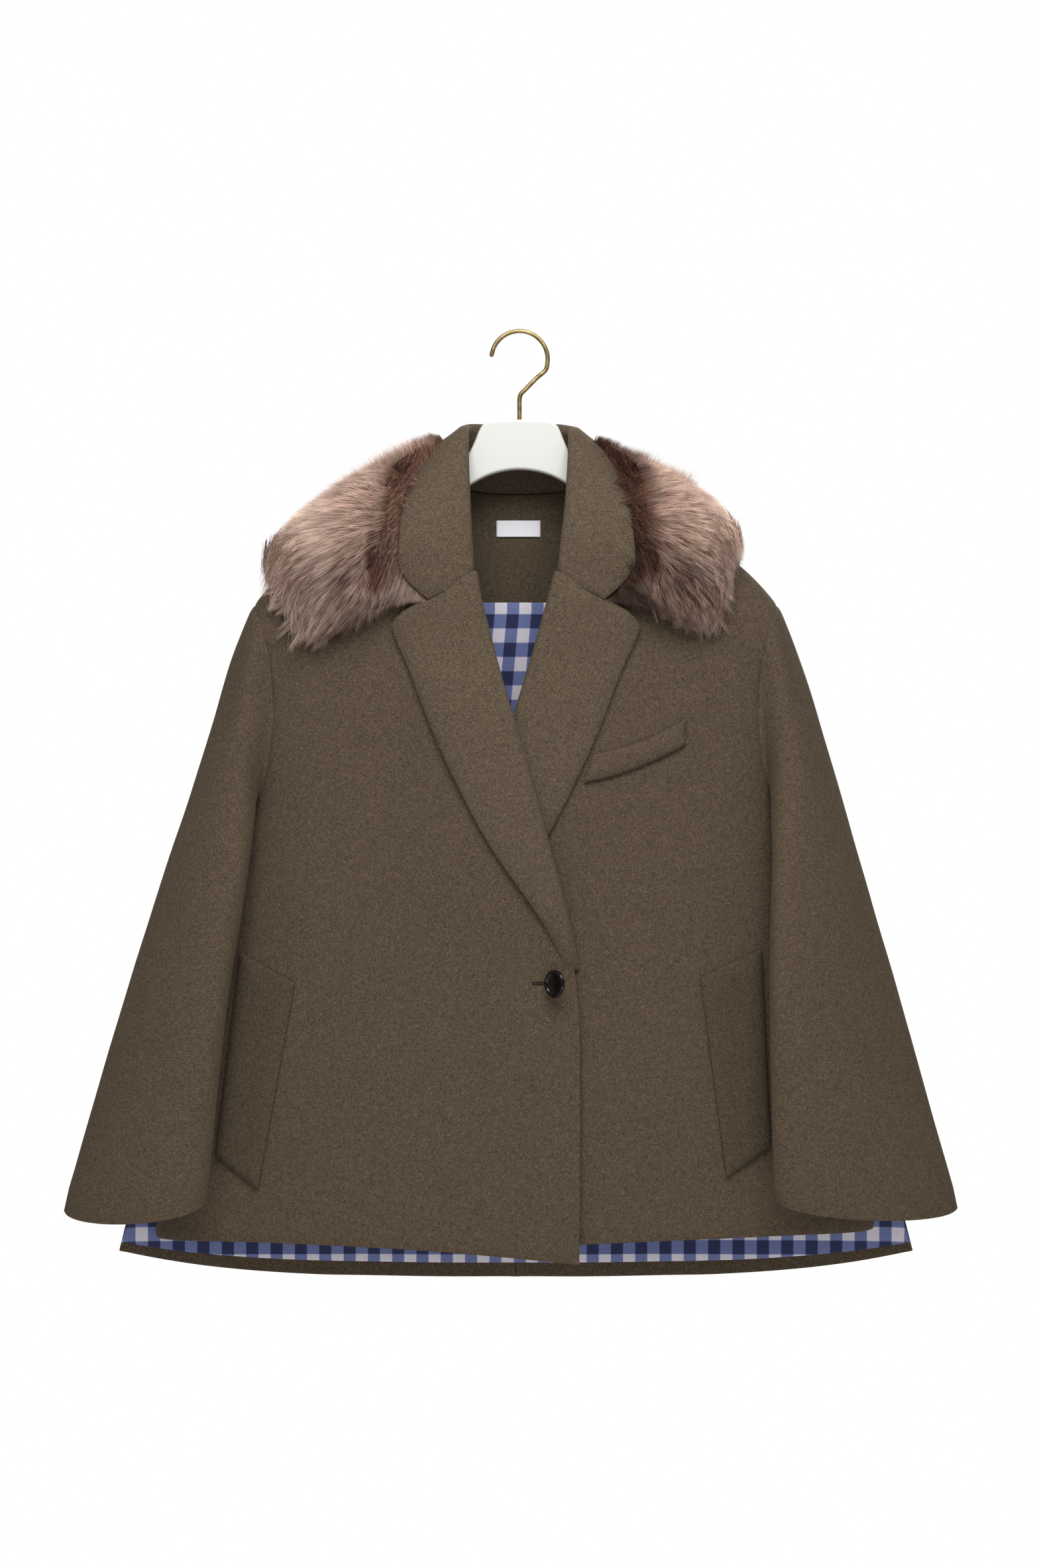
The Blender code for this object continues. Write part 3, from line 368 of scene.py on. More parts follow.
def hang(piece, depth):
    """Lets a sheet stand a little in and out, in soft uneven swells."""
    normals = [vertex.normal.copy() for vertex in piece.data.vertices]
    for vertex, normal in zip(piece.data.vertices, normals):
        spot = vertex.co / SWELL_LONG + Vector((3.7, 0.0, 7.4))
        vertex.co += normal * (noise.noise(spot) + 0.45 * noise.noise(spot * 2.3)) * depth * MM


def turn_edges(piece, depth):
    """Rolls a sheet's edges inwards, as thick soft cloth does where it is sewn or turned in."""
    edges = edge_vertices(piece)
    near = kdtree.KDTree(len(edges))
    for i in edges:
        near.insert(piece.data.vertices[i].co, i)
    near.balance()
    normals = [vertex.normal.copy() for vertex in piece.data.vertices]
    sinks = [depth * math.exp(-near.find(vertex.co)[2] / (EDGE_ROUND * MM)) for vertex in piece.data.vertices]
    for vertex, normal, sink in zip(piece.data.vertices, normals, sinks):
        vertex.co -= normal * sink * MM


def thick_cloth(piece, wall, levels, swell=0.0, rolled=0.0, outward=0.0):
    """Rounds a sheet, lets it hang, rolls its edges and lays its thickness inwards with a soft rim."""
    apply_modifier(piece, "SUBSURF", levels=levels, render_levels=levels, boundary_smooth="PRESERVE_CORNERS")
    if swell:
        hang(piece, swell)
    if rolled:
        turn_edges(piece, rolled)
    apply_modifier(piece, "SOLIDIFY", thickness=wall * MM, offset=-1.0 + 2.0 * outward / wall)
    apply_modifier(
        piece, "BEVEL", width=wall * 0.44 * MM, segments=3, limit_method="ANGLE", angle_limit=math.radians(60)
    )


def ease(value):
    """A smooth step from nought to one."""
    value = min(max(value, 0.0), 1.0)
    return value * value * (3.0 - 2.0 * value)


def wool_tree(*nodes):
    """A search tree over the faces of some solids."""
    points, faces = [], []
    for node in nodes:
        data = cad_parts[node].data
        start = len(points)
        points += [vertex.co.copy() for vertex in data.vertices]
        faces += [[start + i for i in face.vertices] for face in data.polygons]
    return bvhtree.BVHTree.FromPolygons(points, faces)


back_tree = wool_tree("back_right", "back_left")
lining = outer_sheet("lining_back", ("back_lining",), FRONTWARD, wall=1.2)
for vertex in lining.data.vertices:
    wider = ease((abs(vertex.co.x) - 0.2) / 0.12) * ease((-0.7 - vertex.co.z) / 0.1)
    vertex.co.x += math.copysign(LINING_WIDER * MM * wider, vertex.co.x)
    behind = back_tree.ray_cast(Vector((vertex.co.x, -0.3, vertex.co.z)), BACKWARD)[0]
    if wider and behind is not None:
        vertex.co.y = min(vertex.co.y, behind.y - LINING_CLEAR * MM)
thick_cloth(lining, wall=1.2, levels=2, swell=1.0)

# Gingham: dyed and bleached cotton threads in a plain weave. Two blue stripes cross as navy, a blue
# one and a white one as mid blue. Stripes are 11.6 mm wide and 13.57 mm tall. The threads' own grain is
# drawn about a millimetre coarse, since single threads are too fine to show.
gingham, tree, shader = new_material("gingham cotton", Roughness=0.9, Sheen_Weight=0.1)
place = add_node(tree, "ShaderNodeTexCoord", {})
apart = add_node(tree, "ShaderNodeSeparateXYZ", {0: place.outputs["Object"]})
lean = add_node(
    tree,
    "ShaderNodeMapRange",
    {"Value": apart.outputs[2], "From Min": -0.45, "From Max": -0.26, "To Min": 0.017, "To Max": 0.0},
)
across = add_node(tree, "ShaderNodeMath", {0: apart.outputs[0], 1: lean.outputs[0]}, operation="ADD")
stripes = []
for along, wide, start in (
    (across.outputs[0], 11.6 * MM, -5.6 * MM),
    (apart.outputs[2], 13.57 * MM, 283.9 * MM),
):
    count = add_node(tree, "ShaderNodeMath", {0: along, 1: start}, operation="ADD")
    cycle = add_node(tree, "ShaderNodeMath", {0: count.outputs[0], 1: wide}, operation="PINGPONG")
    stripes.append(
        add_node(
            tree,
            "ShaderNodeMapRange",
            {"Value": cycle.outputs[0], "From Min": wide * 0.46, "From Max": wide * 0.54},
            interpolation_type="SMOOTHSTEP",
        )
    )
depth = add_node(
    tree, "ShaderNodeMath", {0: stripes[0].outputs[0], 1: stripes[1].outputs[0]}, operation="ADD"
)
half = add_node(tree, "ShaderNodeMath", {0: depth.outputs[0], 1: 0.5}, operation="MULTIPLY")
dyed = add_node(
    tree,
    "ShaderNodeValToRGB",
    {0: half.outputs[0]},
    stops=((0.0, "#D2CDD8"), (1.0, "#20274F"), (0.5, "#66709F")),
)
thread = add_node(
    tree,
    "ShaderNodeTexNoise",
    {"Vector": place.outputs["Object"], "Scale": 1 / 0.0011, "Detail": 2.0, "Roughness": 0.7},
)
slub = add_node(tree, "ShaderNodeMapRange", {"Value": thread.outputs[0], "To Min": 0.72, "To Max": 1.24})
cloth_tone = add_node(
    tree,
    "ShaderNodeMix",
    {0: 1.0, 6: dyed.outputs[0], 7: slub.outputs[0]},
    data_type="RGBA",
    blend_type="MULTIPLY",
)
weave = add_node(tree, "ShaderNodeBump", {"Height": thread.outputs[0], "Strength": 0.25, "Distance": 0.0003})
tree.links.new(cloth_tone.outputs[2], shader.inputs["Base Color"])
tree.links.new(weave.outputs[0], shader.inputs["Normal"])
dressed(lining, "gingham_cotton", gingham, "back_lining")


# Neck facing: a shaped piece of the coat's own wool inside the back of the neck, sewn to the collar
# seam above and to the lining below.
def felted_wool(name, dark, middle, light):
    """Fulled and brushed wool: a matt nap of short fibres, lighter where it catches light.

    Single fibres are too fine to show, so the nap is drawn about a millimetre coarse."""
    material, tree, shader = new_material(
        name, Roughness=0.95, Sheen_Weight=0.12, Sheen_Roughness=0.5, Sheen_Tint=linear("#A8987F")
    )
    shader.inputs["Specular IOR Level"].default_value = 0.15
    place = add_node(tree, "ShaderNodeTexCoord", {})
    nap = add_node(
        tree,
        "ShaderNodeTexNoise",
        {"Vector": place.outputs["Object"], "Scale": 1 / 0.00105, "Detail": 3.0, "Roughness": 0.65},
    )
    cloud = add_node(
        tree, "ShaderNodeTexNoise", {"Vector": place.outputs["Object"], "Scale": 1 / 0.0034, "Detail": 2.0}
    )
    drift = add_node(tree, "ShaderNodeMapRange", {"Value": cloud.outputs[0], "To Min": -0.1, "To Max": 0.1})
    mixed = add_node(tree, "ShaderNodeMath", {0: nap.outputs[0], 1: drift.outputs[0]}, operation="ADD")
    tone = add_node(
        tree, "ShaderNodeValToRGB", {0: mixed.outputs[0]}, stops=((0.34, dark), (0.66, light), (0.5, middle))
    )
    pile = add_node(tree, "ShaderNodeBump", {"Height": nap.outputs[0], "Strength": 0.5, "Distance": 0.0009})
    tree.links.new(tone.outputs[0], shader.inputs["Base Color"])
    tree.links.new(pile.outputs[0], shader.inputs["Normal"])
    return material


body_wool = felted_wool("felted wool", "#3A3025", "#504437", "#685A49")
# Painted light: a lighter copy of the wool for the lapels and collar, whose faces tilt up into the lamp.
painted_light_wool = felted_wool("felted wool, painted lighter", "#3D3328", "#54483B", "#6D5F4D")
# Painted shade: a darker copy of the wool for the neck facing, in the collar's shade, and the pocket welts,
# shaded beside the sleeves.
painted_shade_wool = felted_wool("felted wool, painted darker", "#352C22", "#493F32", "#5E5142")

facing = outer_sheet("facing_neck", ("neck_facing",), FRONTWARD, wall=1.2, spread=3.5)
thick_cloth(facing, wall=1.2, levels=2, rolled=0.8)
# Painted shade: the facing takes the darker copy of the wool.
dressed(facing, "felted_wool", painted_shade_wool, "neck_facing")

# Label: a short length of plain woven tape, its ends turned under, laid flat on the facing and sewn
# down at both ends.
low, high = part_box("label")
bpy.ops.object.select_all(action="DESELECT")
bpy.ops.mesh.primitive_grid_add(x_subdivisions=24, y_subdivisions=8, size=1.0)
label = bpy.context.object
label.name = "label_tape"
for vertex in label.data.vertices:
    across, up = vertex.co.x, vertex.co.y
    x = (low[0] + high[0]) / 2 + across * (high[0] - low[0])
    z = (low[2] + high[2]) / 2 + up * (high[2] - low[2])
    tucked = 0.0003 * max(abs(across) * 2.0 - 0.9, 0.0) / 0.1
    vertex.co = (x, low[1] + 0.0003 * (2.0 * across) ** 2 + tucked, z)
apply_modifier(label, "SOLIDIFY", thickness=0.6 * MM, offset=-1.0)
apply_modifier(label, "BEVEL", width=0.2 * MM, segments=2, limit_method="ANGLE", angle_limit=math.radians(60))

# Woven tape: off-white and smooth, with faint ribs across it, drawn coarser than real ones to show.
tape, tree, shader = new_material("woven tape", Roughness=0.7, Sheen_Weight=0.1)
place = add_node(tree, "ShaderNodeTexCoord", {})
ribs = add_node(
    tree,
    "ShaderNodeTexWave",
    {"Vector": place.outputs["Object"], "Scale": 1 / 0.0022, "Distortion": 0.6},
    bands_direction="Z",
)
tone = add_node(
    tree, "ShaderNodeValToRGB", {0: ribs.outputs["Color"]}, stops=((0.0, "#D6D5DA"), (1.0, "#E6E6E9"))
)
rise = add_node(tree, "ShaderNodeBump", {"Height": ribs.outputs["Fac"], "Strength": 0.3, "Distance": 0.0002})
tree.links.new(tone.outputs[0], shader.inputs["Base Color"])
tree.links.new(rise.outputs[0], shader.inputs["Normal"])
dressed(label, "woven_tape", tape, "label")

# Back: two panels of the wool joined down the middle, hung from the shoulders, with a flare that
# throws soft folds towards the hem.
for side in ("right", "left"):
    panel = outer_sheet("panel_back_" + side, ("back_" + side,), BACKWARD, wall=3.0)
    thick_cloth(panel, wall=3.4, levels=2, swell=0.8, rolled=1.6)
    dressed(panel, "felted_wool", body_wool, "back_" + side)

# Fronts: a panel each side, lapped wide over one another, right over left. Their edges are faced and
# rolled, so that they are thick and round. Below the button the upper one's edge stands off a little.
OUTWARD = {"right": -1.0, "left": 1.0}
FRONT_STANDS_OFF = 5.0

# Where the solids fold along the roll lines, and how much further out the cloth does, in millimetres.
ROLL_HEIGHTS = (-420, -355, -254, -227, -138, -85)
ROLL = {
    "right": ((14, -3, -26.6, -36.2, -45.9, -47), (0, 3, 7, 4.5, 0.5, 0)),
    "left": ((-20, -3, 20.6, 27.4, 38.9, 41), (0, -2, 4.8, 5.3, 5.8, 5.8)),
}
ROLL_REACH = 55.0


def open_neck(vertex, side):
    """Moves cloth near the roll line outwards, and less the further off it lies."""
    roll, out = ROLL[side]
    height = vertex.co.z / MM
    beyond = OUTWARD[side] * (vertex.co.x / MM - np.interp(height, ROLL_HEIGHTS, roll))
    share = ease(1.0 - beyond / ROLL_REACH) * ease((0.045 - vertex.co.y) / 0.02)
    vertex.co.x += OUTWARD[side] * np.interp(height, ROLL_HEIGHTS, out) * share * MM


fronts = {}
for side in ("right", "left"):
    panel = outer_sheet("panel_front_" + side, ("front_" + side,), FRONTWARD, wall=3.0)
    for vertex in panel.data.vertices:
        open_neck(vertex, side)
    if side == "right":
        for vertex in panel.data.vertices:
            by_edge = ease((vertex.co.x + 0.005) / 0.055)
            vertex.co.y -= FRONT_STANDS_OFF * MM * by_edge * ease((-0.55 - vertex.co.z) / 0.06)
    thick_cloth(panel, wall=4.2, levels=3, swell=0.8, rolled=2.0)
    dressed(panel, "felted_wool", body_wool, "front_" + side)
    fronts[side] = bvhtree.BVHTree.FromObject(panel, bpy.context.evaluated_depsgraph_get())

# Pocket welts: folded strips of the wool laid over the pocket mouths and sewn down round their edges.
# Corners are in millimetres across and up, from the top edge's inner end round to the bottom's.
WELTS = (
    ("pocket_welt_right", "right", (-208.5, -611), (-260.5, -583), (-283.5, -773), (-242.5, -804), 0.0),
    ("pocket_welt_left", "left", (167.5, -605), (225.5, -579), (233.5, -763), (191.5, -792), 0.0),
    ("breast_welt", "left", (68.5, -397.5), (154.5, -364), (154.5, -389), (59, -424.5), -5.0),
)
WELT_STEP = 3.0
WELT_STANDS, WELT_EDGE_SINKS = 6.2, 3.0
WELT_WALL, WELT_ROUND = 4.0, 1.6


def on_front(side, x, z, stands):
    """A place on a front as seen from straight ahead, and a height above the cloth there."""
    spot, normal, _, _ = fronts[side].ray_cast(Vector((x, -0.5, z)), BACKWARD)
    return spot + normal * stands * MM


for name, side, top_in, top_out, low_out, low_in, bow in WELTS:
    corners = [Vector(corner) for corner in (top_in, top_out, low_out, low_in)]
    columns = max(int((corners[1] - corners[0]).length / WELT_STEP), 8)
    rows = max(int((corners[3] - corners[0]).length / WELT_STEP), 8)
    spots = []
    for row in range(rows + 1):
        for column in range(columns + 1):
            u, v = column / columns, row / rows
            spot = corners[0].lerp(corners[1], u).lerp(corners[3].lerp(corners[2], u), v)
            edge = min(u * columns, (columns - u * columns), v * rows, (rows - v * rows)) * WELT_STEP
            stands = WELT_STANDS - WELT_EDGE_SINKS * math.exp(-edge / 3.5)
            spots.append(on_front(side, spot.x * MM, (spot.y + bow * 4.0 * u * (1.0 - u)) * MM, stands))
    wide = columns + 1
    faces = [
        (r * wide + c, (r + 1) * wide + c, (r + 1) * wide + c + 1, r * wide + c + 1)
        for r in range(rows)
        for c in range(columns)
    ]
    if corners[1].x < corners[0].x:
        faces = [tuple(reversed(face)) for face in faces]
    welt = new_piece(name + "_cloth", spots, faces=faces)
    apply_modifier(welt, "SOLIDIFY", thickness=WELT_WALL * MM, offset=-1.0)
    apply_modifier(
        welt, "BEVEL", width=WELT_ROUND * MM, segments=3, limit_method="ANGLE", angle_limit=math.radians(60)
    )
    # Painted shade: the pocket welts take the darker copy of the wool; the breast welt takes the plain one.
    dressed(welt, "felted_wool", body_wool if name == "breast_welt" else painted_shade_wool, name)

# Sleeves: each one closed tube of the wool, seamed along the outer arm and the underarm, set into the
# armhole and widening to an open cuff. The rows give the height, where the solid's inner edge is and where
# the fold of the cloth hangs, in millimetres from the coat's middle, which lies a little to the right.
SLEEVE_FOLD = {
    "right": (
        (-811, 284, 285), (-757, 278, 280), (-695, 271, 275), (-644, 265, 269), (-600, 261, 263),
        (-575, 260, 259), (-545, 258, 255), (-520, 256.5, 250.5), (-497, 255, 247.5), (-475, 253, 244),
        (-455, 251, 241), (-430, 242, 240), (-415, 235, 235),
    ),
    "left": (
        (-808, 239, 238), (-760, 238, 236), (-705, 238, 235), (-657, 238, 234.5), (-614, 239, 234.5),
        (-574, 241, 235), (-543, 244.5, 236.5), (-518, 248, 238), (-481, 248, 238), (-458, 248, 238),
        (-430, 241, 236), (-415, 235, 235),
    ),
}
COAT_X = -3.5
SLEEVE_REACH = 70.0
body_tree = wool_tree("front_right", "front_left", "back_right", "back_left")
for side in ("right", "left"):
    heights, inner, fold = (list(column) for column in zip(*SLEEVE_FOLD[side]))
    halves = ("sleeve_" + side + "_front", "sleeve_" + side + "_back")
    sleeve = outer_sheet("sleeve_" + side + "_cloth", halves, FRONTWARD, wall=3.0)
    for vertex in sleeve.data.vertices:
        if body_tree.find_nearest(vertex.co)[3] > 3.5 * MM:
            height = vertex.co.z / MM
            edge = np.interp(height, heights, inner)
            beyond = max(OUTWARD[side] * (vertex.co.x / MM - COAT_X) - edge, 0.0)
            share = max(1.0 - beyond / SLEEVE_REACH, 0.0) ** 2
            vertex.co.x += OUTWARD[side] * (np.interp(height, heights, fold) - edge) * share * MM
    thick_cloth(sleeve, wall=3.6, levels=2, swell=0.8, rolled=1.6)
    dressed(sleeve, "felted_wool", body_wool, *halves)

# Lapels: the front edges faced with wool, turned back at the roll line and pressed softly. Their upper
# edges come up to the collar and are sewn to it along the gorge.
GORGE_LIFT = Vector((0.0, -4.0, 4.0))
TAIL_SINKS = 5.0
for side, long, area in (("right", 0.37, 0.025), ("left", 0.3, 0.022)):
    lapel = outer_sheet("lapel_" + side + "_cloth", ("lapel_" + side,), FRONTWARD, wall=4.0)
    for vertex in lapel.data.vertices:
        open_neck(vertex, side)
        gorge = ease((vertex.co.z + 0.300) / 0.045)
        tail = ease((-0.572 - vertex.co.z) / 0.03)
        vertex.co += (GORGE_LIFT * gorge + BACKWARD * TAIL_SINKS * tail) * MM
    thick_cloth(lapel, wall=5.4, levels=3, swell=0.8, rolled=2.6, outward=1.4)
    # Painted light: the lapels take the lighter copy of the wool.
    dressed(lapel, "felted_wool", painted_light_wool, "lapel_" + side)

# Collar: a band of doubled wool that stands up from the neck seam, folds over and falls outside. Its
# ends are pressed down on the lapels. The table gives heights in metres and how wide it hangs there.
COLLAR_WIDTH = (
    (-0.235, -0.214, -0.2, -0.177, -0.154, -0.136, -0.116, -0.105, -0.084),
    (0.985, 0.966, 0.98, 0.985, 0.965, 0.92, 0.935, 0.985, 1.0),
)
COLLAR_CORNER_DROP = 5.5
COLLAR_POINT_SINKS = 6.5
collar = outer_sheet("collar_cloth", ("collar",), BACKWARD, wall=4.0)
for vertex in collar.data.vertices:
    open_neck(vertex, "right" if vertex.co.x < 0.0 else "left")
    front = ease((0.045 - vertex.co.y) / 0.045)
    side_share = ease((abs(vertex.co.x) - 0.045) / 0.03) * front
    corner_start = 0.044 if vertex.co.x < 0.0 else 0.034
    corner = ease((vertex.co.z + 0.108) / 0.02) * ease((abs(vertex.co.x) - corner_start) / 0.016) * front
    narrower = (np.interp(vertex.co.z, *COLLAR_WIDTH) - 1.0) * side_share
    vertex.co.x *= 1.0 + narrower * (1.0 if vertex.co.x < 0.0 else 0.35)
    vertex.co.z -= COLLAR_CORNER_DROP * MM * corner
    point = ease((-0.19 - vertex.co.z) / 0.05) * ease(-vertex.co.y / 0.02)
    vertex.co.y += COLLAR_POINT_SINKS * MM * point
thick_cloth(collar, wall=5.4, levels=2, swell=0.8, rolled=2.4, outward=1.4)
# Painted light: the collar takes the lighter copy of the wool.
dressed(collar, "felted_wool", painted_light_wool, "collar")

# Fur collar: a long-haired pelt in two halves, sewn under the wool collar and lying on the
# shoulders. A dense dark underfur at the skin, and long guard hairs over it in fine tapering locks
# that run outwards, rise at the top and fall at the bottom. They are darker beside the collar.
HAIRS = 88000
CREST_HAIRS = 7000
EDGE_HAIRS = 10000
LOCKS = 3600
HAIR_STEPS = (0.0, 0.55, 1.0)
HAIR_WIDE = (0.36, 0.3)
HAIR_SHORTEST = 0.009

# How much hair rises for each step outwards, by how far below the hook it grows, near the collar and far off.
HAIR_LIE_NEAR = ((0.10, 0.14, 0.18, 0.22, 0.25, 0.29), (1.2, 0.6, -0.4, -1.5, -2.4, -4.0))
HAIR_LIE_FAR = ((0.10, 0.14, 0.18, 0.22, 0.255, 0.29), (0.1, -0.1, -0.3, -0.5, -0.8, -1.2))

# The line along the top of the standing hair, from the collar outwards, in metres.
CREST_TOP = {
    "right": (
        (0.064, 0.074, 0.082, 0.092, 0.108, 0.122, 0.136, 0.155),
        (-0.106, -0.098, -0.096, -0.098, -0.105, -0.113, -0.123, -0.134),
    ),
    "left": (
        (0.064, 0.072, 0.085, 0.094, 0.114, 0.125, 0.14, 0.155),
        (-0.113, -0.108, -0.105, -0.1045, -0.109, -0.118, -0.123, -0.13),
    ),
}

# The collar's outer edge from its fold to its point, across and up, in millimetres, then how long the hair is
# that comes out from under it there and how much that rises for each step outwards.
COLLAR_EDGE = {
    "right": (
        (-70.0, -75.0, -80.3, -92.3, -105.6, -111.6, -114.0, -114.0, -109.2, -100.8, -86.3),
        (-99.2, -103.1, -107.1, -121.6, -145.7, -172.2, -196.2, -220.3, -230.0, -239.6, -250.5),
    ),
    "left": (
        (62.1, 72.9, 83.5, 94.3, 101.6, 106.4, 108.3, 109.1, 105.2, 94.3, 81.1),
        (-97.5, -105.9, -114.4, -131.2, -148.1, -172.2, -196.2, -217.9, -227.6, -240.9, -250.5),
    ),
}
EDGE_REACH = (6.0, 11.0, 18.0, 28.0, 36.0, 36.0, 36.0, 38.0, 34.0, 20.0, 7.0)
EDGE_LIE = (1.0, 1.2, 1.4, 1.2, 0.6, -0.8, -1.6, -2.4, -3.0, -3.5, -4.0)

# Colours from root to tip, and the dark brown that hair takes beside the collar and in one patch a side.
HAIR_TONES = ("#2B160D", "#895F4C", "#EACDBC")
HAIR_DARK = "#4C2B1E"
DARK_REACH = {"right": (0.65, 0.024), "left": (1.15, 0.056)}
DARK_PATCH = {"right": (-0.12, -0.13, 0.02), "left": (0.125, -0.245, 0.05)}
EDGE_TONE = {"right": 0.9, "left": 0.72}
ROOT_PALE = {"right": 0.75, "left": 0.15}
PALER = {"right": 1.0, "left": 1.12}
SLEEVES = ("sleeve_right_front", "sleeve_right_back", "sleeve_left_front", "sleeve_left_back")
collar_tree = wool_tree("collar", "lapel_right", "lapel_left")
collar_cloth = bvhtree.BVHTree.FromObject(collar, bpy.context.evaluated_depsgraph_get())
coat_tree = wool_tree(
    "front_right", "front_left", "back_right", "back_left", "lapel_right", "lapel_left", *SLEEVES
)


def hair_way(side, spot, normal):
    """The way that hair lies at a place: outwards, rising at the top and falling at the bottom."""
    far = ease((abs(spot.x) - 0.11) / 0.1)
    lift = (1.0 - far) * np.interp(-spot.z, *HAIR_LIE_NEAR) + far * np.interp(-spot.z, *HAIR_LIE_FAR)
    way = Vector((OUTWARD[side], 0.3 * far, lift)).normalized()
    stray = noise.noise_vector(spot * 16.0) * 0.45 + noise.noise_vector(spot * 60.0) * 0.35
    way += stray * (1.0 - 0.7 * abs(normal.x))
    way -= normal * way.dot(normal)
    return way.normalized()


def hair_spots(pelt, count, chance):
    """Places spread evenly over the open faces of a pelt, each with the way that the pelt faces there."""
    data = pelt.data
    data.calc_loop_triangles()
    open_faces = []
    for triangle in data.loop_triangles:
        corners = [data.vertices[i] for i in triangle.vertices]
        middle = (corners[0].co + corners[1].co + corners[2].co) / 3 + triangle.normal * 0.0005
        on_body = body_tree.ray_cast(middle, triangle.normal, 0.002)[0] is not None
        at_collar = collar_tree.ray_cast(middle, triangle.normal, 0.001)[0] is not None
        if not on_body and not at_collar:
            open_faces.append((triangle.area, corners))
    spots = []
    for _, corners in chance.choices(open_faces, weights=[area for area, _ in open_faces], k=count):
        a, b = sorted((chance.random(), chance.random()))
        shares = (a, b - a, 1.0 - b)
        spot = sum((corner.co * share for corner, share in zip(corners, shares)), Vector())
        normal = sum((corner.normal * share for corner, share in zip(corners, shares)), Vector()).normalized()
        spots.append((spot, normal))
    return spots


def lying_hairs(side, pelt, chance):
    """Root, tip, outward way and lock's tone of each hair that lies over the pelt."""
    pelt_tree = bvhtree.BVHTree.FromObject(pelt, bpy.context.evaluated_depsgraph_get())
    spots = hair_spots(pelt, HAIRS, chance)
    locks = kdtree.KDTree(LOCKS)
    lock_ends = []
    for i, (spot, normal) in enumerate(spots[:LOCKS]):
        locks.insert(spot, i)
        low = ease((-spot.z - 0.21) / 0.05)
        longer = low * (0.5 + ease((abs(spot.x) - 0.15) / 0.05))
        far = chance.uniform(0.0, 0.012) + chance.uniform(0.004, 0.014) * longer
        end = spot + hair_way(side, spot, normal) * far
        end += normal * chance.uniform(-0.008, 0.001)
        lock_tone = chance.uniform(0.6, 1.25) * PALER[side]
        lock_ends.append((end, lock_tone, chance.uniform(0.2, 0.55) + 0.1 * low))
    locks.balance()
    for spot, normal in spots:
        way = hair_way(side, spot, normal)
        lock_end, lock_tone, clump = lock_ends[locks.find(spot)[1]]
        through = pelt_tree.ray_cast(spot - normal * 0.001, -normal, 0.06)[3] or 0.06
        deep = min(through * 0.85, 0.028)
        tip = spot + way * chance.uniform(0.0, 0.008) + normal * chance.uniform(-0.008, 0.0)
        tip = tip.lerp(lock_end, clump) + noise.random_unit_vector() * chance.uniform(0.0, 0.003)
        yield spot - way * chance.uniform(0.018, 0.042) - normal * deep, tip, normal, lock_tone


def crest_hairs(side, chance):
    """The same for the hair that stands up behind the collar's fold, where the pelt turns over."""
    for _ in range(CREST_HAIRS):
        x = chance.uniform(0.064, 0.155)
        top = np.interp(x, *CREST_TOP[side])
        y, z = chance.uniform(-0.012, 0.03), top - chance.uniform(0.028, 0.046)
        root = Vector((OUTWARD[side] * x + COAT_X * MM, y, z))
        leans = OUTWARD[side] * chance.gauss(0.006, 0.006)
        tip = Vector((root.x + leans, root.y + chance.gauss(0.0, 0.004), top))
        tip.z -= abs(chance.gauss(0.0, 0.006))
        yield root, tip, FRONTWARD + Vector((0.0, 0.0, 0.6)), chance.uniform(0.75, 1.0)


def before_collar(spot):
    """Whether a place lies in front of the finished collar's face."""
    normal = collar_cloth.ray_cast(spot, BACKWARD, 0.03)[1]
    return normal is not None and normal.y < 0.0


def edge_hairs(side, pelt, chance):
    """The same for the hair that comes out from under the collar's outer edge and fans away from it."""
    pelt_tree = bvhtree.BVHTree.FromObject(pelt, bpy.context.evaluated_depsgraph_get())
    stations = range(len(EDGE_LIE))
    for _ in range(EDGE_HAIRS):
        along = chance.uniform(0.0, stations[-1])
        x, z = (np.interp(along, stations, values) * MM for values in COLLAR_EDGE[side])
        seen = collar_cloth.ray_cast(Vector((x - OUTWARD[side] * 3.0 * MM, -0.5, z)), BACKWARD)[0]
        if seen is None:
            continue
        lie = np.interp(along, stations, EDGE_LIE) + chance.gauss(0.0, 0.25) + 0.8 * noise.noise(seen * 70.0)
        fan = Vector((OUTWARD[side], 0.0, lie)).normalized()
        reach = np.interp(along, stations, EDGE_REACH) * chance.uniform(0.3, 1.0) * MM
        root = seen + BACKWARD * chance.uniform(9.0, 13.0) * MM - fan * chance.uniform(3.0, 8.0) * MM
        tip = seen + fan * reach + BACKWARD * chance.uniform(1.0, 7.0) * MM
        top = pelt_tree.ray_cast(Vector((tip.x, -0.5, tip.z)), BACKWARD)[0]
        if top is not None:
            tip.y = min(tip.y, top.y + chance.uniform(-2.0, 3.0) * MM)
        yield root, tip, FRONTWARD * 0.25, chance.uniform(0.6, 1.0) * EDGE_TONE[side]


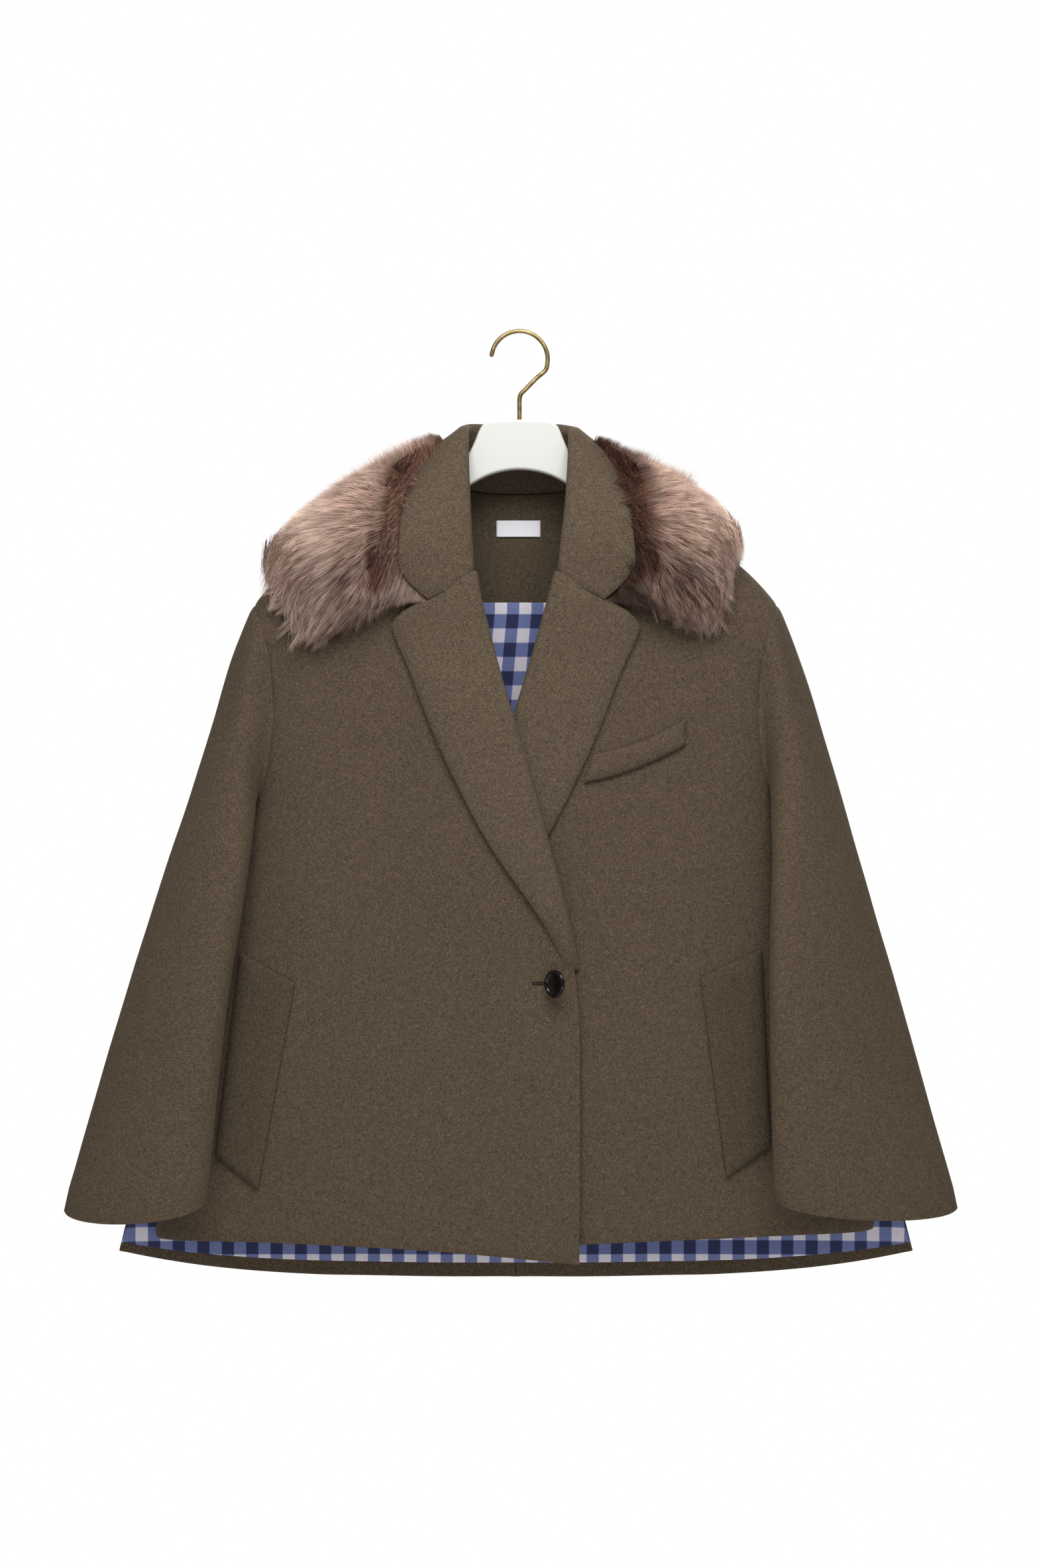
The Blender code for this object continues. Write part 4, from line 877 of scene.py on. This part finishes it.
def grow_fur(side, pelt, chance):
    """The hair of one half of the fur collar, as tapering ribbons for two meshes, front and back."""
    tones = [Vector(linear(code)[:3]) for code in HAIR_TONES]
    dark = Vector(linear(HAIR_DARK)[:3])
    grown = {"front": ([], [], [], []), "back": ([], [], [], [])}
    hairs = [*lying_hairs(side, pelt, chance), *crest_hairs(side, chance), *edge_hairs(side, pelt, chance)]
    for root, tip, normal, lock_tone in hairs:
        for cloth, inside in ((coat_tree, -0.001), (collar_cloth, 0.0004)):
            back = root - tip
            cut = cloth.ray_cast(tip, back.normalized(), back.length)[0]
            if cut is not None:
                root = cut + back.normalized() * inside
        while (tip - root).length > HAIR_SHORTEST and before_collar(root):
            root = root.lerp(tip, 0.3)
        if (tip - root).length < HAIR_SHORTEST:
            continue
        bend = root.lerp(tip, 0.45) + normal * (tip - root).length * 0.16
        bend += noise.random_unit_vector() * 0.002
        open_way = (normal * 0.7 + (FRONTWARD if normal.y < 0.6 else BACKWARD)).normalized()
        across = (tip - root).cross(open_way).normalized()
        twist = chance.uniform(-0.6, 0.6)
        across = across * math.cos(twist) + open_way * math.sin(twist)
        beside = collar_tree.find_nearest(tip)[3] * (1.0 + 0.6 * noise.noise(tip * 40.0))
        deepest, reach = DARK_REACH[side]
        patch_x, patch_z, patch_wide = DARK_PATCH[side]
        high_up = 1.0 if side == "left" else ease((tip.z + 0.185) / 0.04)
        shade = deepest * ease(1.0 - beside / reach) * high_up
        shade = max(shade, 0.55 * ease(1.5 - math.hypot(tip.x - patch_x, tip.z - patch_z) / patch_wide))
        shade = min(shade * chance.uniform(0.6, 1.2) * (1.0 + 0.6 * noise.noise(tip * 90.0)), 0.95)
        kind = chance.random()
        # Painted light: hair towards the far outer ends is paler and seldom dark, standing in for the white
        # surround lighting the fur's edges.
        painted_edge_light = ease((abs(tip.x) - 0.17) / 0.04)
        if kind < 0.22:
            shade = max(shade, 0.75 - 0.5 * painted_edge_light)
        # Painted shade: hair lower down is darker, standing in for the top lamp's falloff.
        lock_tone *= 0.73 + 0.34 * ease((tip.z + 0.25) / 0.07)
        tone = lock_tone * (1.0 + 0.25 * noise.noise(tip * 34.0)) * chance.uniform(0.68, 1.3)
        tone *= 1.2 if kind > 0.88 else 1.0
        pale = max(painted_edge_light, ease((-0.15 - tip.z) / 0.03) * ease(2.0 - beside / 0.015) - shade)
        by_collar = ROOT_PALE[side] * ease(2.0 - collar_tree.find_nearest(root)[3] / 0.012)
        pale_root = max(pale * 0.8, by_collar * chance.uniform(0.1, 1.2))
        root_hue = tones[0].lerp(tones[1].lerp(tones[2], 0.15), pale_root)
        hues = [root_hue, tones[1].lerp(tones[2], pale * 0.6), tones[2]]
        shine = open_way + normal * 0.3 + Vector((0.0, 0.0, 0.5)) + noise.random_unit_vector() * 0.9
        shine.normalize()
        points, faces, colours, normals = grown["front" if tip.y < 0.012 else "back"]
        start = len(points)
        for step, t in enumerate(HAIR_STEPS):
            middle = root * (1 - t) ** 2 + bend * 2 * t * (1 - t) + tip * t * t
            half = across * HAIR_WIDE[step] / 2 * MM if step < 2 else None
            places = [middle - half, middle + half] if half else [middle]
            points += places
            colours += [(*(hues[step].lerp(dark, shade if step else 0.0) * tone), 1.0)] * len(places)
            normals += [shine] * len(places)
        faces.append((start, start + 1, start + 3, start + 2))
        faces.append((start + 2, start + 3, start + 4))
    return grown


# Long hair: smooth and softly shining, each hair with its own colours from a dark root to a pale tip.
hair, tree, shader = new_material("long fur hair", Roughness=0.6)
shader.inputs["Specular IOR Level"].default_value = 0.15
hue = add_node(tree, "ShaderNodeVertexColor", {}, layer_name="tone")
tree.links.new(hue.outputs[0], shader.inputs["Base Color"])

# Underfur: a dense brown wool without shine, in tufts about 4 mm across.
under, tree, shader = new_material("underfur", Roughness=0.95)
place = add_node(tree, "ShaderNodeTexCoord", {})
tufts = add_node(
    tree, "ShaderNodeTexNoise", {"Vector": place.outputs["Object"], "Scale": 1 / 0.004, "Detail": 4.0}
)
tone = add_node(
    tree, "ShaderNodeValToRGB", {0: tufts.outputs[0]}, stops=((0.35, "#24120B"), (0.65, "#4A2F25"))
)
tree.links.new(tone.outputs[0], shader.inputs["Base Color"])

noise.seed_set(11)
for side, seed in (("right", 5), ("left", 9)):
    node = "fur_collar_" + side
    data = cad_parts[node].data
    faces = [tuple(face.vertices) for face in data.polygons]
    pelt = new_piece("underfur_" + side, [vertex.co for vertex in data.vertices], faces=faces)
    bpy.ops.object.mode_set(mode="EDIT")
    bpy.ops.mesh.select_all(action="SELECT")
    bpy.ops.mesh.remove_doubles(threshold=0.00001)
    bpy.ops.object.mode_set(mode="OBJECT")
    apply_modifier(pelt, "SUBSURF", levels=1, render_levels=1)
    for end, (points, faces, colours, normals) in grow_fur(side, pelt, random.Random(seed)).items():
        locks = new_piece("fur_hair_" + side + "_" + end, points, faces=faces)
        tint = locks.data.color_attributes.new("tone", "FLOAT_COLOR", "POINT")
        tint.data.foreach_set("color", np.array(colours, dtype=np.float32).ravel())
        dressed(locks, "long_fur", hair)
        locks.data.normals_split_custom_set_from_vertices([tuple(normal) for normal in normals])
    pelt_tree = bvhtree.BVHTree.FromObject(pelt, bpy.context.evaluated_depsgraph_get())
    sinks = []
    for vertex in pelt.data.vertices:
        through = pelt_tree.ray_cast(vertex.co - vertex.normal * 0.001, -vertex.normal, 0.06)[3] or 0.06
        free = body_tree.ray_cast(vertex.co, vertex.normal, 0.012)[0] is None
        sinks.append(min(through * 0.6, 0.026) if free else 0.0)
    normals = [vertex.normal.copy() for vertex in pelt.data.vertices]
    for vertex, normal, sink in zip(pelt.data.vertices, normals, sinks):
        vertex.co -= normal * sink
        over_collar = collar_cloth.ray_cast(vertex.co, BACKWARD, 0.03)[0]
        if over_collar is not None:
            vertex.co.y = over_collar.y + 8.0 * MM
    dressed(pelt, "long_fur", under, node)

# Button: turned black horn with a raised rim and a dished face, polished, standing at an angle on a
# shank of wound thread behind the hole that it is pushed through.
BUTTON_PROFILE = (
    (0.0, 0.1), (4.0, 0.15), (7.6, 0.35), (8.9, 0.8), (9.6, 1.7), (10.6, 2.25), (11.6, 2.1), (12.5, 1.3),
    (12.9, 0.2), (12.6, -0.7), (11.0, -1.5), (8.0, -2.2), (4.2, -2.7), (3.6, -3.4), (3.4, -5.2), (0.0, -5.2),
)
BUTTON_TURN = math.radians(46.0)
BUTTON_PLACE = Vector((32.5, 0.0, -610.0)) * MM
low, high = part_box("button")
profile = smooth_line([(r * MM, 0.0, z * MM) for r, z in BUTTON_PROFILE], 3)
for point in profile:
    point.x = max(point.x, 0.0)
button = new_piece("button_disc", profile, edges=[(i, i + 1) for i in range(len(profile) - 1)])
apply_modifier(
    button,
    "SCREW",
    steps=72,
    render_steps=72,
    use_merge_vertices=True,
    merge_threshold=0.00001,
    use_normal_calculate=True,
)
spin = Matrix.Rotation(-BUTTON_TURN, 4, "Z") @ Matrix.Rotation(math.radians(90.0), 4, "X")
button.data.transform(Matrix.Translation(BUTTON_PLACE) @ spin)
nearest = min(vertex.co.y for vertex in button.data.vertices)
button.data.transform(Matrix.Translation((0.0, low[1] - nearest, 0.0)))

# Polished horn: nearly black, with a clear hard gloss that shows the rim and the dish.
horn, tree, shader = new_material("polished black horn", Base_Color=linear("#0D0B0A"), Roughness=0.16)
shader.inputs["Specular IOR Level"].default_value = 0.3
dressed(button, "black_horn", horn, "button")

# Sewing: the thread wound round the button's shank, the worked edges of the buttonhole and the few
# stitches at the label's ends.
WOUND_THREAD = 0.45
WINDING_STEPS = 143

# Sewing thread: twisted cotton, dark brown and dull.
thread_dark, _, _ = new_material("dark thread", Base_Color=linear("#1B1611"), Roughness=0.8)
low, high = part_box("button_shank")
centre = (Vector(low) + Vector(high)) / 2
spots = []
for step in range(WINDING_STEPS + 1):
    turn = step / 12 * math.tau
    share = step / WINDING_STEPS
    reach = ((high[0] - low[0]) / 2 - WOUND_THREAD * MM) * (0.92 + 0.08 * math.sin(step * 0.7))
    y = low[1] + 0.0006 + (high[1] - low[1] - 0.0012) * share
    spots.append(((centre.x + reach * math.cos(turn), y, centre.z + reach * math.sin(turn)), 1.0))
shank = round_strand("shank_thread", spots, WOUND_THREAD, 2)
dressed(shank, "sewing_thread", thread_dark, "button_shank")


def sew(name, stitches, wide):
    """Short raised stitches, each from one point to another on cloth that faces a given way."""
    points, faces = [], []
    for start, end, normal in stitches:
        across = (end - start).cross(normal).normalized() * wide / 2
        first = len(points)
        for share, rise in ((0.0, 0.1), (0.25, 0.8), (0.75, 0.8), (1.0, 0.1)):
            middle = start.lerp(end, share) + normal * wide * rise
            rounding = normal * wide * 0.5
            points += [middle - across, middle + rounding, middle + across, middle - rounding]
        for ring in range(3):
            for k in range(4):
                here, there = first + ring * 4 + k, first + ring * 4 + (k + 1) % 4
                faces.append((here, there, there + 4, here + 4))
        faces += [(first + 3, first + 2, first + 1, first), (first + 12, first + 13, first + 14, first + 15)]
    return new_piece(name, points, faces=faces)


HOLE_Z = -0.610
worked = []
for step in range(22):
    x = 0.0115 + step * 0.0007
    for way in (-1.0, 1.0):
        inside = on_front("right", x, HOLE_Z + way * 0.0004, 0.2)
        outside = on_front("right", x, HOLE_Z + way * 0.0016, 0.1)
        worked.append((inside, outside, FRONTWARD))
buttonhole = sew("buttonhole_thread", worked, 0.0006)
dressed(buttonhole, "sewing_thread", thread_dark)

# The same thread in white, for the tape.
thread_white, _, _ = new_material("white thread", Base_Color=linear("#E4E3E6"), Roughness=0.8)
low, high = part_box("label")
ends = []
for x in (low[0] + 0.0008, high[0] - 0.0008):
    for step in range(6):
        z = low[2] + (high[2] - low[2]) * (step + 0.25) / 6
        ends.append((Vector((x, low[1], z)), Vector((x, low[1], z + 0.0014)), FRONTWARD))
dressed(sew("label_thread", ends, 0.0004), "sewing_thread", thread_white)
